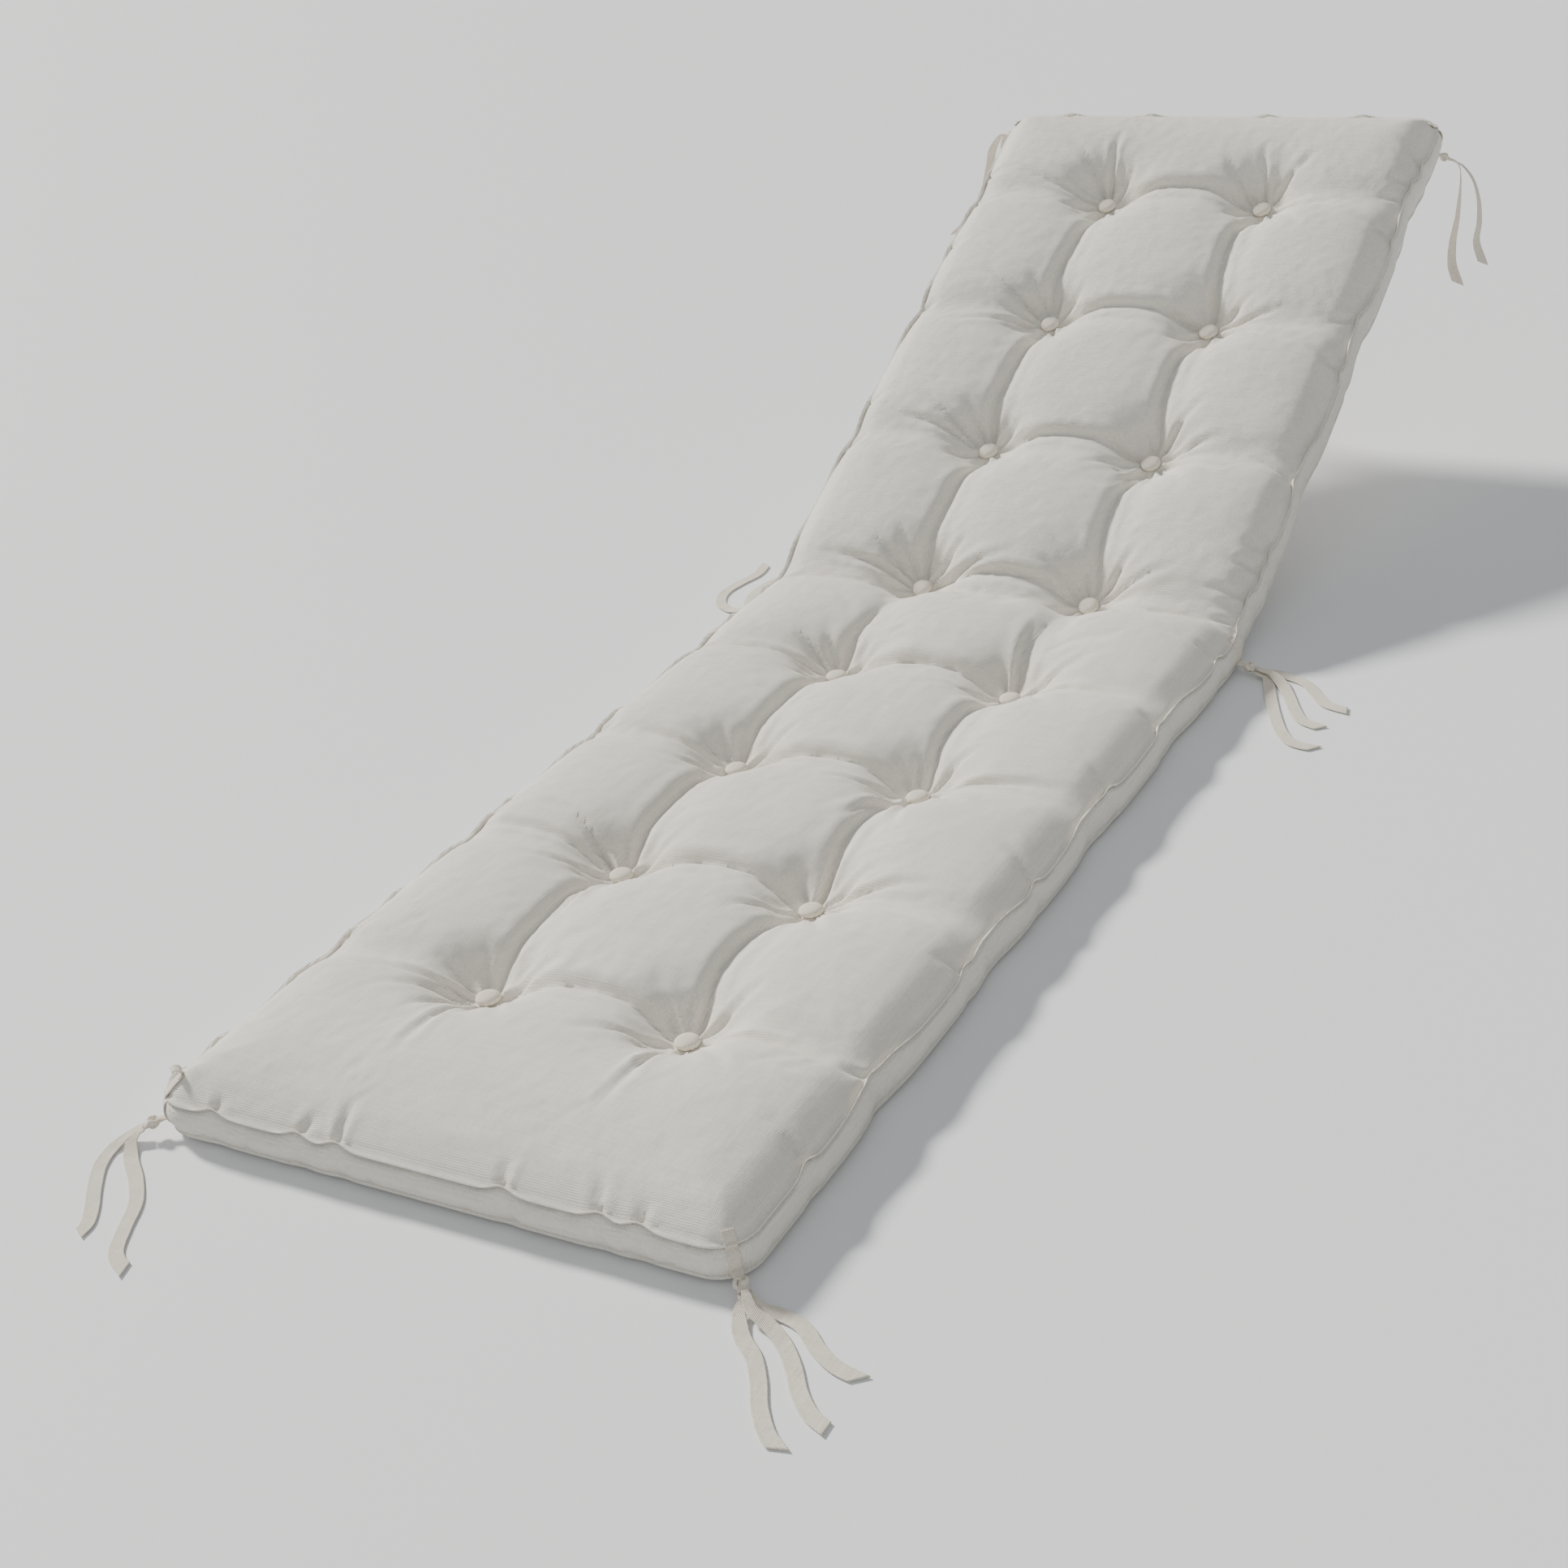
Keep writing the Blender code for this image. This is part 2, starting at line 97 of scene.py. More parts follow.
FLOOR_HALF, FLOOR_DROP = 40, 0.0006
floor_corners = [(x * FLOOR_HALF, y * FLOOR_HALF, 0) for x, y in ((-1, -1), (1, -1), (1, 1), (-1, 1))]
floor_mesh = bpy.data.meshes.new("floor")
floor_mesh.from_pydata(floor_corners, [], [(0, 1, 2, 3)])
floor = bpy.data.objects.new("floor", floor_mesh)
floor.location.z = -FLOOR_DROP
scene.collection.objects.link(floor)
floor_paint = bpy.data.materials.new("floor_paint")
floor_paint.use_nodes = True
paint = floor_paint.node_tree.nodes["Principled BSDF"]
paint.inputs["Base Color"].default_value = (0.80, 0.81, 0.82, 1)
paint.inputs["Roughness"].default_value = 0.75
floor_mesh.materials.append(floor_paint)

# Cushion cover
# A long cover of off-white cotton canvas: a top panel, an underside and a border strip between them, sewn
# edge to edge and stuffed with polyester wadding. Waxed thread pulls the buttons down in eight rows of two,
# which draws pleats between them and gathers at the seams. The back half is raised at a bend.

LENGTH, WIDTH = 2.000, 0.600
BULGE = 0.006
CORNER = 0.034
FOOT_SEAM, RIM = 0.006, 0.038
CROWN, SHOULDER = 0.027, 0.075
UNDER_EDGE, UNDER_DIMPLE, UNDER_REACH = 0.030, 0.004, 0.030
ROW_PITCH, FIRST_ROW, COLUMN = 0.2255, 0.245, 0.106
ROW_PLACES = np.array([FIRST_ROW + row * ROW_PITCH for row in range(8)])
SEAT, BUTTON_FLOOR, DIMPLE = 0.012, 0.026, 0.036
CHANNEL, CHANNEL_SHARE, SIDE_FADE = 0.026, 0.52, 0.55
PULL_IN, RIM_DIP = 0.006, 0.004
FOLD, FOLD_ARC, RAISE, MIDDLE_LAYER = 1.118, 0.034, math.radians(24.5), 0.020
CREASE, CREASE_WIDTH = 0.009, 0.016
SEAM_X = WIDTH / 2 - BULGE
FOLD_START, FOLD_RADIUS = FOLD - FOLD_ARC / 2, FOLD_ARC / RAISE


def bent(x, s, z):
    """Points of the flat cushion carried to the bent one. s runs along it from the foot edge."""
    turned = np.clip((s - FOLD_START) / FOLD_RADIUS, 0, RAISE)
    beyond = np.maximum(s - FOLD_START - FOLD_ARC, 0)
    reach = FOLD_RADIUS - (z - MIDDLE_LAYER)
    y = np.minimum(s, FOLD_START) + reach * np.sin(turned) + beyond * math.cos(RAISE)
    rise = MIDDLE_LAYER + FOLD_RADIUS - reach * np.cos(turned) + beyond * math.sin(RAISE)
    return np.stack(np.broadcast_arrays(x, y + foot_y, rise), axis=-1)


def bump(distance, width):
    return np.exp(-((distance / width) ** 2))


def row_distance(s):
    return np.abs(np.asarray(s)[..., None] - ROW_PLACES).min(axis=-1)


def inside(x, s):
    """Distance from flat points in to the outline of the seams."""
    across = np.abs(x) - (SEAM_X - CORNER)
    along = np.abs(s - LENGTH / 2) - (LENGTH / 2 - BULGE - CORNER)
    past = np.hypot(np.maximum(across, 0), np.maximum(along, 0))
    return np.maximum(CORNER - past - np.minimum(np.maximum(across, along), 0), 0)


# Creases that run out from each button: row, side of the cushion, then a heading (0 is +x, 90 is towards
# the head) and a length in millimetres for each, as drawn.
CREASES = (
    (1, -1, (
        (-170, 130), (-145, 95), (-110, 80), (-85, 140), (-70, 60), (-45, 85), (35, 60), (125, 45),
        (165, 60),
    )),
    (1, 1, ((-145, 105), (-85, 150), (-40, 105), (-5, 150), (55, 75), (90, 45), (115, 45), (145, 60))),
    (2, -1, ((175, 188), (-155, 90), (-85, 120), (-35, 45), (45, 65), (90, 50), (115, 50), (155, 125))),
    (2, 1, ((-130, 80), (-55, 95), (-25, 65), (-10, 140), (15, 115), (45, 70), (95, 105), (135, 50))),
    (3, -1, ((-140, 60), (-90, 80), (-50, 45), (50, 65), (110, 60), (135, 55), (155, 60), (175, 120))),
    (3, 1, ((-155, 85), (-105, 110), (-75, 110), (-35, 95), (5, 145), (55, 75), (110, 65), (135, 50))),
    (4, -1, ((-178, 188), (-135, 50), (-90, 40), (-35, 50), (45, 65), (90, 55), (125, 75), (155, 130))),
    (4, 1, ((-145, 50), (-80, 50), (-40, 90), (-5, 135), (35, 75), (100, 130), (125, 50), (160, 60))),
    (5, -1, (
        (-165, 50), (-95, 60), (-40, 45), (20, 110), (55, 70), (100, 50), (125, 75), (150, 100), (172, 130),
    )),
    (5, 1, ((-140, 50), (-95, 50), (-15, 105), (25, 105), (60, 80), (115, 55), (150, 70))),
    (6, -1, ((-150, 45), (-85, 40), (-30, 55), (45, 50), (95, 55), (130, 70), (150, 125), (170, 135))),
    (6, 1, (
        (-155, 75), (-110, 65), (-75, 50), (-40, 80), (-12, 110), (15, 85), (60, 85), (110, 50), (160, 65),
    )),
    (7, -1, ((-165, 115), (-110, 40), (-55, 55), (50, 60), (90, 50), (125, 75), (150, 115), (172, 65))),
    (7, 1, ((-140, 50), (-75, 55), (-18, 125), (10, 90), (40, 70), (95, 45), (120, 50), (160, 65))),
    (8, -1, ((-160, 55), (-110, 40), (-45, 55), (60, 55), (95, 105), (130, 110), (165, 125))),
    (8, 1, ((-145, 45), (-75, 60), (-40, 90), (-8, 95), (50, 90), (100, 80), (135, 80))),
)
# Creases that run in from the seams, as drawn, except that most of those at the head are guessed: the
# drawing shows one there. Columns: place along the edge in metres, heading off square in degrees, length
# in millimetres.
EDGE_CREASES = {
    "left": (
        (1.859, 0, 42), (1.802, -4, 40), (1.718, 5, 26), (1.598, 25, 30), (1.423, 14, 40),
        (1.345, 40, 34), (1.116, 15, 46), (1.090, 25, 34), (1.009, 30, 36), (0.910, 22, 48),
        (0.754, 14, 48), (0.706, 30, 30), (0.547, 35, 42), (0.508, 30, 52), (0.354, 45, 36),
        (0.267, 35, 56), (0.201, 35, 42), (0.093, 35, 48), (0.036, 12, 52),
    ),
    "right": (
        (1.900, -40, 46), (1.862, 0, 30), (1.836, 14, 34), (1.760, -22, 64), (1.619, 25, 36),
        (1.530, -25, 48), (1.352, -20, 64), (1.243, 0, 30), (1.214, 8, 42), (1.173, 4, 60),
        (1.136, 12, 40), (1.046, -8, 78), (0.880, -20, 30), (0.745, -25, 34), (0.560, -35, 58),
        (0.410, 20, 30), (0.240, 25, 30), (0.118, -30, 60),
    ),
    "front": (
        (-0.225, -25, 16), (-0.132, -40, 22), (-0.090, 5, 42), (0.078, 15, 24), (0.171, 25, 32),
        (0.207, 0, 18),
    ),
    "head": ((-0.215, 15, 26), (-0.100, -30, 24), (0.060, 10, 30), (0.190, -20, 26)),
}
NIP, NIP_WIDTH = 0.0020, 0.010


def nips(place, marks):
    """How far the seam is drawn in where creases run out from it."""
    apart = (np.asarray(place)[..., None] - np.array([mark[0] for mark in marks])) / NIP_WIDTH
    return NIP * np.minimum(np.exp(-apart ** 2).sum(axis=-1), 1.3)


def plan(x, s, out=0.0):
    """Flat grid points moved on to the rounded outline, drawn in at rows and creases, out past the seam."""
    corner_x, corner_s = SEAM_X - CORNER, LENGTH / 2 - BULGE - CORNER
    along = s - LENGTH / 2
    u = np.maximum(np.abs(x) - corner_x, 0) / CORNER
    v = np.maximum(np.abs(along) - corner_s, 0) / CORNER
    round_u, round_v = u * np.sqrt(1 - v * v / 2), v * np.sqrt(1 - u * u / 2)
    size = np.maximum(np.hypot(round_u, round_v), 1e-6)
    px = np.minimum(np.abs(x), corner_x) + round_u * (CORNER + out / size)
    ps = np.minimum(np.abs(along), corner_s) + round_v * (CORNER + out / size)
    at_side = np.minimum(np.abs(x) / SEAM_X, 1)
    px = px - PULL_IN * bump(row_distance(s), 1.4 * CHANNEL) * at_side ** 4
    px = px - np.where(x < 0, nips(s, EDGE_CREASES["left"]), nips(s, EDGE_CREASES["right"])) * at_side ** 8
    at_end = np.minimum(np.abs(along) / (LENGTH / 2 - BULGE), 1) ** 160
    ps = ps - np.where(along < 0, nips(x, EDGE_CREASES["front"]), nips(x, EDGE_CREASES["head"])) * at_end
    return np.copysign(px, x), np.copysign(ps, along) + LENGTH / 2


def top_height(x, s):
    """Height of the stuffed top panel before the cloth swells, as in the solid."""
    rise = np.sqrt(1 - (1 - np.minimum(inside(x, s) / SHOULDER, 1)) ** 2)
    rows = row_distance(s)
    to_column = np.abs(np.abs(x) - COLUMN)
    past_rows = np.maximum(np.maximum(ROW_PLACES[0] - s, s - ROW_PLACES[-1]), 0)
    lengthwise = bump(to_column, CHANNEL) * bump(past_rows, 2 * CHANNEL)
    to_side = np.maximum(np.abs(x) - COLUMN, 0) / (SEAM_X - COLUMN)
    crosswise = bump(rows, CHANNEL) * (1 - (1 - SIDE_FADE) * to_side)
    rim = RIM - RIM_DIP * bump(rows, CHANNEL) * np.minimum(np.abs(x) / SEAM_X, 1) ** 4
    height = rim + CROWN * rise * (1 - CHANNEL_SHARE * np.maximum(lengthwise, crosswise))
    height -= CREASE * rise * bump(s - FOLD, CREASE_WIDTH)
    off_seat = np.hypot(np.maximum(to_column - SEAT, 0), np.maximum(rows - SEAT, 0))
    return height + (BUTTON_FLOOR - height) * bump(off_seat, DIMPLE)


def under_height(x, s):
    edge = np.maximum(1 - inside(x, s) / UNDER_EDGE, 0) ** 2
    reach = np.hypot(np.abs(x) - COLUMN, row_distance(s)) / UNDER_REACH
    return FOOT_SEAM * edge + UNDER_DIMPLE * np.maximum(1 - reach ** 2, 0) ** 2


def graded(stops, close, fine, coarse, reach):
    """Places from the first stop to the last that hold every stop, fine steps apart near the close ones."""
    places = [stops[0]]
    for low, high in zip(stops, stops[1:]):
        samples = np.linspace(low, high, 400)
        near = np.abs(samples[:, None] - np.asarray(close)).min(axis=1)
        step = fine + (coarse - fine) * np.clip(near / reach, 0, 1)
        count = np.concatenate([[0], np.cumsum(np.diff(samples) / ((step[1:] + step[:-1]) / 2))])
        cells = max(round(count[-1]), 1)
        wanted = np.linspace(0, count[-1], cells + 1)[1:]
        places += list(np.interp(wanted, count, samples))
    return np.array(places)


def between(old, new):
    """Weights that read values at the new places from values at the old ones, on smooth curves."""
    cell = np.clip(np.searchsorted(old, new, side="right") - 1, 0, len(old) - 2)
    t = (new - old[cell]) / (old[cell + 1] - old[cell])
    weights = np.zeros((len(new), len(old)))
    shares = (
        (-1, (-t + 2 * t ** 2 - t ** 3) / 2),
        (0, (2 - 5 * t ** 2 + 3 * t ** 3) / 2),
        (1, (t + 4 * t ** 2 - 3 * t ** 3) / 2),
        (2, (-t ** 2 + t ** 3) / 2),
    )
    for offset, share in shares:
        np.add.at(weights, (np.arange(len(new)), np.clip(cell + offset, 0, len(old) - 1)), share)
    return weights


def grid_faces(rows, columns):
    numbers = np.arange(rows * columns).reshape(rows, columns)
    return np.stack(
        [numbers[:-1, :-1], numbers[:-1, 1:], numbers[1:, 1:], numbers[1:, :-1]], axis=-1
    ).reshape(-1, 4)


# The top panel is cut larger than the place it is sewn into, so that it swells and puckers when it is
# stuffed. The simulation holds it at its seam and under the buttons and blows it up from below.

SWELL_CELL = 0.006
CUT_EXTRA = 0.055
STUFFING = 3.6
TENSION, BENDING = 40, 0.05
CLOTH_DAMPING, AIR_DAMPING = 5, 3
SWELL_FRAMES = 26
HELD_RADIUS = 0.0095
UNEVEN = 0.0004


def swelled(start, cut, faces, held):
    mesh = bpy.data.meshes.new("panel")
    mesh.from_pydata(start.tolist(), [], faces.tolist())
    panel = bpy.data.objects.new("panel", mesh)
    scene.collection.objects.link(panel)
    panel.shape_key_add(name="stuffed")
    cut_key = panel.shape_key_add(name="cut")
    cut_key.data.foreach_set("co", cut.ravel())
    cut_key.value = 0
    pins = panel.vertex_groups.new(name="sewn")
    pins.add(held.tolist(), 1.0, "REPLACE")
    cloth = panel.modifiers.new("cloth", "CLOTH")
    settings = cloth.settings
    settings.vertex_group_mass = pins.name
    settings.rest_shape_key = cut_key
    settings.use_pressure = True
    settings.uniform_pressure_force = STUFFING
    settings.tension_stiffness = TENSION
    settings.compression_stiffness = TENSION / 2
    settings.shear_stiffness = TENSION * 0.3
    settings.bending_stiffness = BENDING
    settings.tension_damping = CLOTH_DAMPING
    settings.compression_damping = CLOTH_DAMPING
    settings.shear_damping = CLOTH_DAMPING
    settings.air_damping = AIR_DAMPING
    settings.quality = 4
    settings.effector_weights.gravity = 0
    cloth.collision_settings.use_collision = False
    cloth.point_cache.frame_start = 1
    cloth.point_cache.frame_end = SWELL_FRAMES
    for number in range(1, SWELL_FRAMES + 1):
        scene.frame_set(number)
    shaped = panel.evaluated_get(bpy.context.evaluated_depsgraph_get())
    points = np.empty(len(start) * 3)
    shaped.data.vertices.foreach_get("co", points)
    scene.frame_set(1)
    bpy.data.objects.remove(panel)
    return points.reshape(-1, 3)


seam_stops_x = [-SEAM_X, -COLUMN, COLUMN, SEAM_X]
seam_stops_s = [BULGE, *ROW_PLACES, LENGTH - BULGE]
rough_x = graded(seam_stops_x, seam_stops_x, SWELL_CELL, SWELL_CELL, 1)
rough_s = graded(seam_stops_s, seam_stops_s, SWELL_CELL, SWELL_CELL, 1)
grid_x, grid_s = np.meshgrid(rough_x, rough_s)
flat_x, flat_s = plan(grid_x, grid_s)
uneven = np.random.default_rng(11).normal(0, UNEVEN, grid_x.shape)
at_seam = np.zeros(grid_x.shape, bool)
at_seam[[0, -1], :] = True
at_seam[:, [0, -1]] = True
uneven[at_seam] = 0
stuffed = bent(flat_x, flat_s, top_height(flat_x, flat_s) + uneven)
by_button = np.hypot(np.abs(np.abs(grid_x) - COLUMN), row_distance(grid_s)) < HELD_RADIUS
cut = np.stack([flat_x, flat_s - LENGTH / 2, np.zeros_like(flat_x)], axis=-1) * (1 + CUT_EXTRA)
stuffed = swelled(
    stuffed.reshape(-1, 3),
    cut.reshape(-1, 3),
    grid_faces(*grid_x.shape),
    np.flatnonzero(at_seam | by_button),
).reshape(stuffed.shape)

# The simulated panel is read on a finer grid, whose lines run close together along the seams, the rows and
# the columns. Near the seams and the buttons it is flattened, as their thread holds it, and the creases
# are worked into it.

EDGE_LINES = np.array([0.0014, 0.0030, 0.0050])
fine_stops_x = np.unique(np.concatenate([seam_stops_x, -SEAM_X + EDGE_LINES, SEAM_X - EDGE_LINES]))
fine_stops_s = np.unique(np.concatenate([seam_stops_s, BULGE + EDGE_LINES, LENGTH - BULGE - EDGE_LINES]))
CLOSE_CELL, OPEN_CELL_X, OPEN_CELL_S = 0.0022, 0.0055, 0.0058
CLOSE_REACH_X, CLOSE_REACH_S = 0.045, 0.050
SEAM_STEEP, SEAM_CALM = 0.030, 0.060
BUTTON_CALM, BUTTON_CALM_REACH = 0.011, 0.046
fine_x = graded(fine_stops_x, seam_stops_x, CLOSE_CELL, OPEN_CELL_X, CLOSE_REACH_X)
fine_s = graded(fine_stops_s, seam_stops_s, CLOSE_CELL, OPEN_CELL_S, CLOSE_REACH_S)
top = np.einsum(
    "jb,bac,ia->jic", between(rough_s, fine_s), stuffed, between(rough_x, fine_x), optimize=True
)
sheet_x, sheet_s = np.meshgrid(fine_x, fine_s)
edge_gap = np.minimum(SEAM_X - np.abs(sheet_x), LENGTH / 2 - BULGE - np.abs(sheet_s - LENGTH / 2))
moved_x, moved_s = plan(sheet_x, sheet_s)
off_seam = np.clip(edge_gap / SEAM_STEEP, 0, 1) ** 0.45
calm_height = RIM + (top_height(moved_x, moved_s) - RIM) * off_seam
calm = bent(moved_x, moved_s, calm_height)
to_nearest = np.hypot(np.abs(sheet_x) - COLUMN, row_distance(sheet_s))
free_of_seam = np.clip(edge_gap / SEAM_CALM, 0, 1)
free_of_button = np.clip((to_nearest - BUTTON_CALM) / BUTTON_CALM_REACH, 0, 1)
free = free_of_seam ** 2 * (3 - 2 * free_of_seam) * free_of_button ** 2 * (3 - 2 * free_of_button)
top = calm + (top - calm) * free[..., None]

CREASE_DEPTH, CREASE_HALF = 0.0074, 0.0038
EDGE_CREASE_DEPTH, EDGE_CREASE_HALF = 0.0050, 0.0044
PLEAT_DEPTH, PLEAT_HALF = 0.0084, 0.0044
PLEAT_BOW = 0.014
SEAM_GROOVE, GROOVE_IN, GROOVE_HALF = 0.0009, 0.0030, 0.0016
SEAM_HOLD, BUTTON_HOLD, BUTTON_HOLD_REACH = 0.005, 0.009, 0.006
CREASE_START = 0.008


def fold_line(x, s, start, heading, length, depth, half, sag=0.0):
    """Depth of one soft crease: a trough with a low ridge on each side, deepest near its start."""
    along = (x - start[0]) * math.cos(heading) + (s - start[1]) * math.sin(heading)
    off = (s - start[1]) * math.cos(heading) - (x - start[0]) * math.sin(heading)
    t = along / length
    off = off - 4 * sag * t * (1 - t)
    width = half * (0.60 + 0.8 * np.clip(t, 0, 1))
    strength = np.clip(t / 0.08, 0, 1) ** 0.5 * np.clip(1 - t, 0, 1) ** 0.75
    trough = np.exp(-np.abs(off / width) ** 1.2)
    ridges = 0.40 * np.exp(-(((np.abs(off) - 2.2 * width) / (1.2 * width)) ** 2))
    return depth * strength * (trough - ridges)


def pleat(off, half):
    """A sewn channel's sharp bottom and the soft shoulders beside it, from 1 down to about -0.2."""
    return np.exp(-np.abs(off) / half) - 0.24 * np.exp(-(((np.abs(off) - 3.2 * half) / (1.8 * half)) ** 2))


def crease_depth(x, s):
    depth = np.zeros_like(x)
    chance = np.random.default_rng(5)
    for row, side, marks in CREASES:
        button = (side * COLUMN, ROW_PLACES[row - 1])
        for heading, millimetres in marks:
            sag = chance.uniform(-0.05, 0.05) * millimetres / 1000
            deep = CREASE_DEPTH * chance.uniform(0.75, 1.15) * min(0.7 + millimetres / 250, 1.2)
            turned = math.radians(heading)
            start = (
                button[0] + CREASE_START * math.cos(turned), button[1] + CREASE_START * math.sin(turned)
            )
            depth += fold_line(x, s, start, turned, millimetres / 1000, deep, CREASE_HALF, sag)
    for edge, inward in (("left", 0), ("right", 180), ("front", 90), ("head", 270)):
        for place, off_square, millimetres in EDGE_CREASES[edge]:
            heading = math.radians(inward + off_square)
            start = {
                "left": (-SEAM_X, place), "right": (SEAM_X, place),
                "front": (place, BULGE), "head": (place, LENGTH - BULGE),
            }[edge]
            length = millimetres / 1000
            depth += fold_line(x, s, start, heading, length, EDGE_CREASE_DEPTH, EDGE_CREASE_HALF)
    off_row = s - ROW_PLACES[np.abs(s[..., None] - ROW_PLACES).argmin(axis=-1)]
    middle = np.clip((COLUMN - np.abs(x)) / 0.010, 0, 1)
    bow = PLEAT_BOW * (1 - (x / COLUMN) ** 2)
    depth += PLEAT_DEPTH * middle * pleat(off_row - bow * middle, PLEAT_HALF)
    in_rows = np.clip(np.minimum(s - ROW_PLACES[0], ROW_PLACES[-1] - s) / 0.010, 0, 1)
    across_fold = 1 - bump(s - (FOLD - 0.02), 0.075)
    bow = 0.6 * PLEAT_BOW * np.sin(math.pi * row_distance(s) / ROW_PITCH)
    wander = 0.003 * np.sin(s * 27 + np.sign(x) * 1.3) * np.clip(row_distance(s) / 0.03, 0, 1)
    off_column = x - np.sign(x) * COLUMN
    depth += PLEAT_DEPTH * in_rows * across_fold * pleat(off_column + bow - wander, PLEAT_HALF)
    return depth


def surface_normals(points):
    along = np.gradient(points, axis=0)
    across = np.gradient(points, axis=1)
    normal = np.cross(across, along)
    return normal / np.linalg.norm(normal, axis=-1, keepdims=True)


depth = crease_depth(sheet_x, sheet_s)
hold_seam = np.clip(edge_gap / SEAM_HOLD, 0, 1)
hold_button = np.clip((to_nearest - BUTTON_HOLD) / BUTTON_HOLD_REACH, 0, 1)
depth = depth * hold_seam * hold_button
depth += SEAM_GROOVE * np.exp(-(((edge_gap - GROOVE_IN) / GROOVE_HALF) ** 2))
top = top - surface_normals(top) * depth[..., None]

# Border strip: a narrow lip of folded-in cloth at each seam, and between them a low bulge, wrinkled where
# it is gathered. Its creases are placed in metres, from the middle of the front and the head, and from the
# foot edge along the sides. Those of the left side and the head, which are hidden, are guessed.

LIP = ((0.0016, 0.0001), (0.0023, 0.0012), (0.0004, 0.0028), (-0.0014, 0.0044))
BANDS = 11
BORDER_CREASE, BORDER_CREASE_HALF = 0.0040, 0.0042
FRONT_MARKS = (-0.238, -0.189, -0.054, 0.043, 0.089, 0.194, 0.236)
SIDE_MARKS = (
    0.055, 0.150, 0.235, 0.330, 0.455, 0.560, 0.690, 0.865, 0.985, 1.060, 1.210, 1.355, 1.480, 1.650, 1.790,
)
HEAD_MARKS = (-0.210, -0.120, -0.030, 0.075, 0.160, 0.240)

last_i, last_j = len(fine_x) - 1, len(fine_s) - 1
around = [(i, 0) for i in range(last_i)]
around += [(last_i, j) for j in range(last_j)]
around += [(i, last_j) for i in range(last_i, 0, -1)]
around += [(0, j) for j in range(last_j, 0, -1)]
ring_i, ring_j = np.array(around).T
ring_x, ring_s = fine_x[ring_i], fine_s[ring_j]
seam_x, seam_s = plan(ring_x, ring_s)
low_z = under_height(seam_x, seam_s)
high_z = top_height(seam_x, seam_s)


def border_slack(share):
    """How far the creases draw the border in at one height, as a share of the way up it."""
    slack = np.zeros(len(ring_x))
    chance = np.random.default_rng(31)
    edges = (
        (FRONT_MARKS, ring_x, ring_j == 0), (SIDE_MARKS, ring_s, ring_i == last_i),
        (HEAD_MARKS, ring_x, ring_j == last_j), (SIDE_MARKS, ring_s + 0.03, ring_i == 0),
    )
    for marks, place, on_edge in edges:
        for mark in marks:
            reach, lean = chance.uniform(0.35, 0.75), chance.uniform(-0.016, 0.004)
            off = (place - mark - lean * share) / BORDER_CREASE_HALF
            slack += on_edge * BORDER_CREASE * max(1 - share / reach, 0) * np.exp(-off ** 2)
            off = (place - mark - 0.047) / (1.3 * BORDER_CREASE_HALF)
            slack += on_edge * 0.6 * BORDER_CREASE * max(1 - (1 - share) / reach, 0) * np.exp(-off ** 2)
    return slack


def border_ring(share, out, rise=0.0):
    px, ps = plan(ring_x, ring_s, out)
    return bent(px, ps, low_z + (high_z - low_z) * share + rise)


bands = [border_ring(0, out, rise) for out, rise in LIP]
for share in np.linspace(0.16, 0.84, BANDS):
    bulge = BULGE * math.sin(math.pi * share) ** 1.15
    bands.append(border_ring(share, bulge - border_slack(share)))
bands += [border_ring(1, out, -rise) for out, rise in LIP[::-1]]

# Underside: flat where it rests, turned up to its seam, on every second line of the top's grid.

under_i = np.unique(np.append(np.arange(0, last_i, 2), last_i))
under_j = np.unique(np.append(np.arange(0, last_j, 2), last_j))
under_x, under_s = plan(*np.meshgrid(fine_x[under_i], fine_s[under_j]))
under = bent(under_x, under_s, under_height(under_x, under_s))
lower_ring = bent(seam_x, seam_s, low_z)

points = [top.reshape(-1, 3)]
faces = grid_faces(*sheet_x.shape).tolist()
ring = ring_j * len(fine_x) + ring_i
count = len(points[0])
for band in bands[::-1] + [lower_ring]:
    points.append(band)
    next_ring = np.arange(count, count + len(band))
    faces += np.stack([next_ring, np.roll(next_ring, -1), np.roll(ring, -1), ring], axis=-1).tolist()
    ring = next_ring
    count += len(band)
points.append(under[1:-1, 1:-1].reshape(-1, 3))
ring_number = {place: int(number) for place, number in zip(around, ring)}
inner = np.arange(count, count + under[1:-1, 1:-1, 0].size).reshape(len(under_j) - 2, len(under_i) - 2)


def under_number(a, b):
    """The point of the underside's line crossing a, b: on the border's last ring, or inside it."""
    if 0 < a < len(under_i) - 1 and 0 < b < len(under_j) - 1:
        return int(inner[b - 1, a - 1])
    return ring_number[(int(under_i[a]), int(under_j[b]))]


for b in range(len(under_j) - 1):
    for a in range(len(under_i) - 1):
        face = [under_number(a, b)]
        if b == 0:
            face += [ring_number[(i, 0)] for i in range(under_i[a] + 1, under_i[a + 1])]
        face.append(under_number(a + 1, b))
        if a == len(under_i) - 2:
            face += [ring_number[(last_i, j)] for j in range(under_j[b] + 1, under_j[b + 1])]
        face.append(under_number(a + 1, b + 1))
        if b == len(under_j) - 2:
            face += [ring_number[(i, last_j)] for i in range(under_i[a + 1] - 1, under_i[a], -1)]
        face.append(under_number(a, b + 1))
        if a == 0:
            face += [ring_number[(0, j)] for j in range(under_j[b + 1] - 1, under_j[b], -1)]
        faces.append(face[::-1])

cover_mesh = bpy.data.meshes.new("cushion_cover")
cover_mesh.from_pydata(np.concatenate(points).tolist(), [], faces)
cover_mesh.shade_smooth()
cover = bpy.data.objects.new("cushion_cover", cover_mesh)
scene.collection.objects.link(cover)


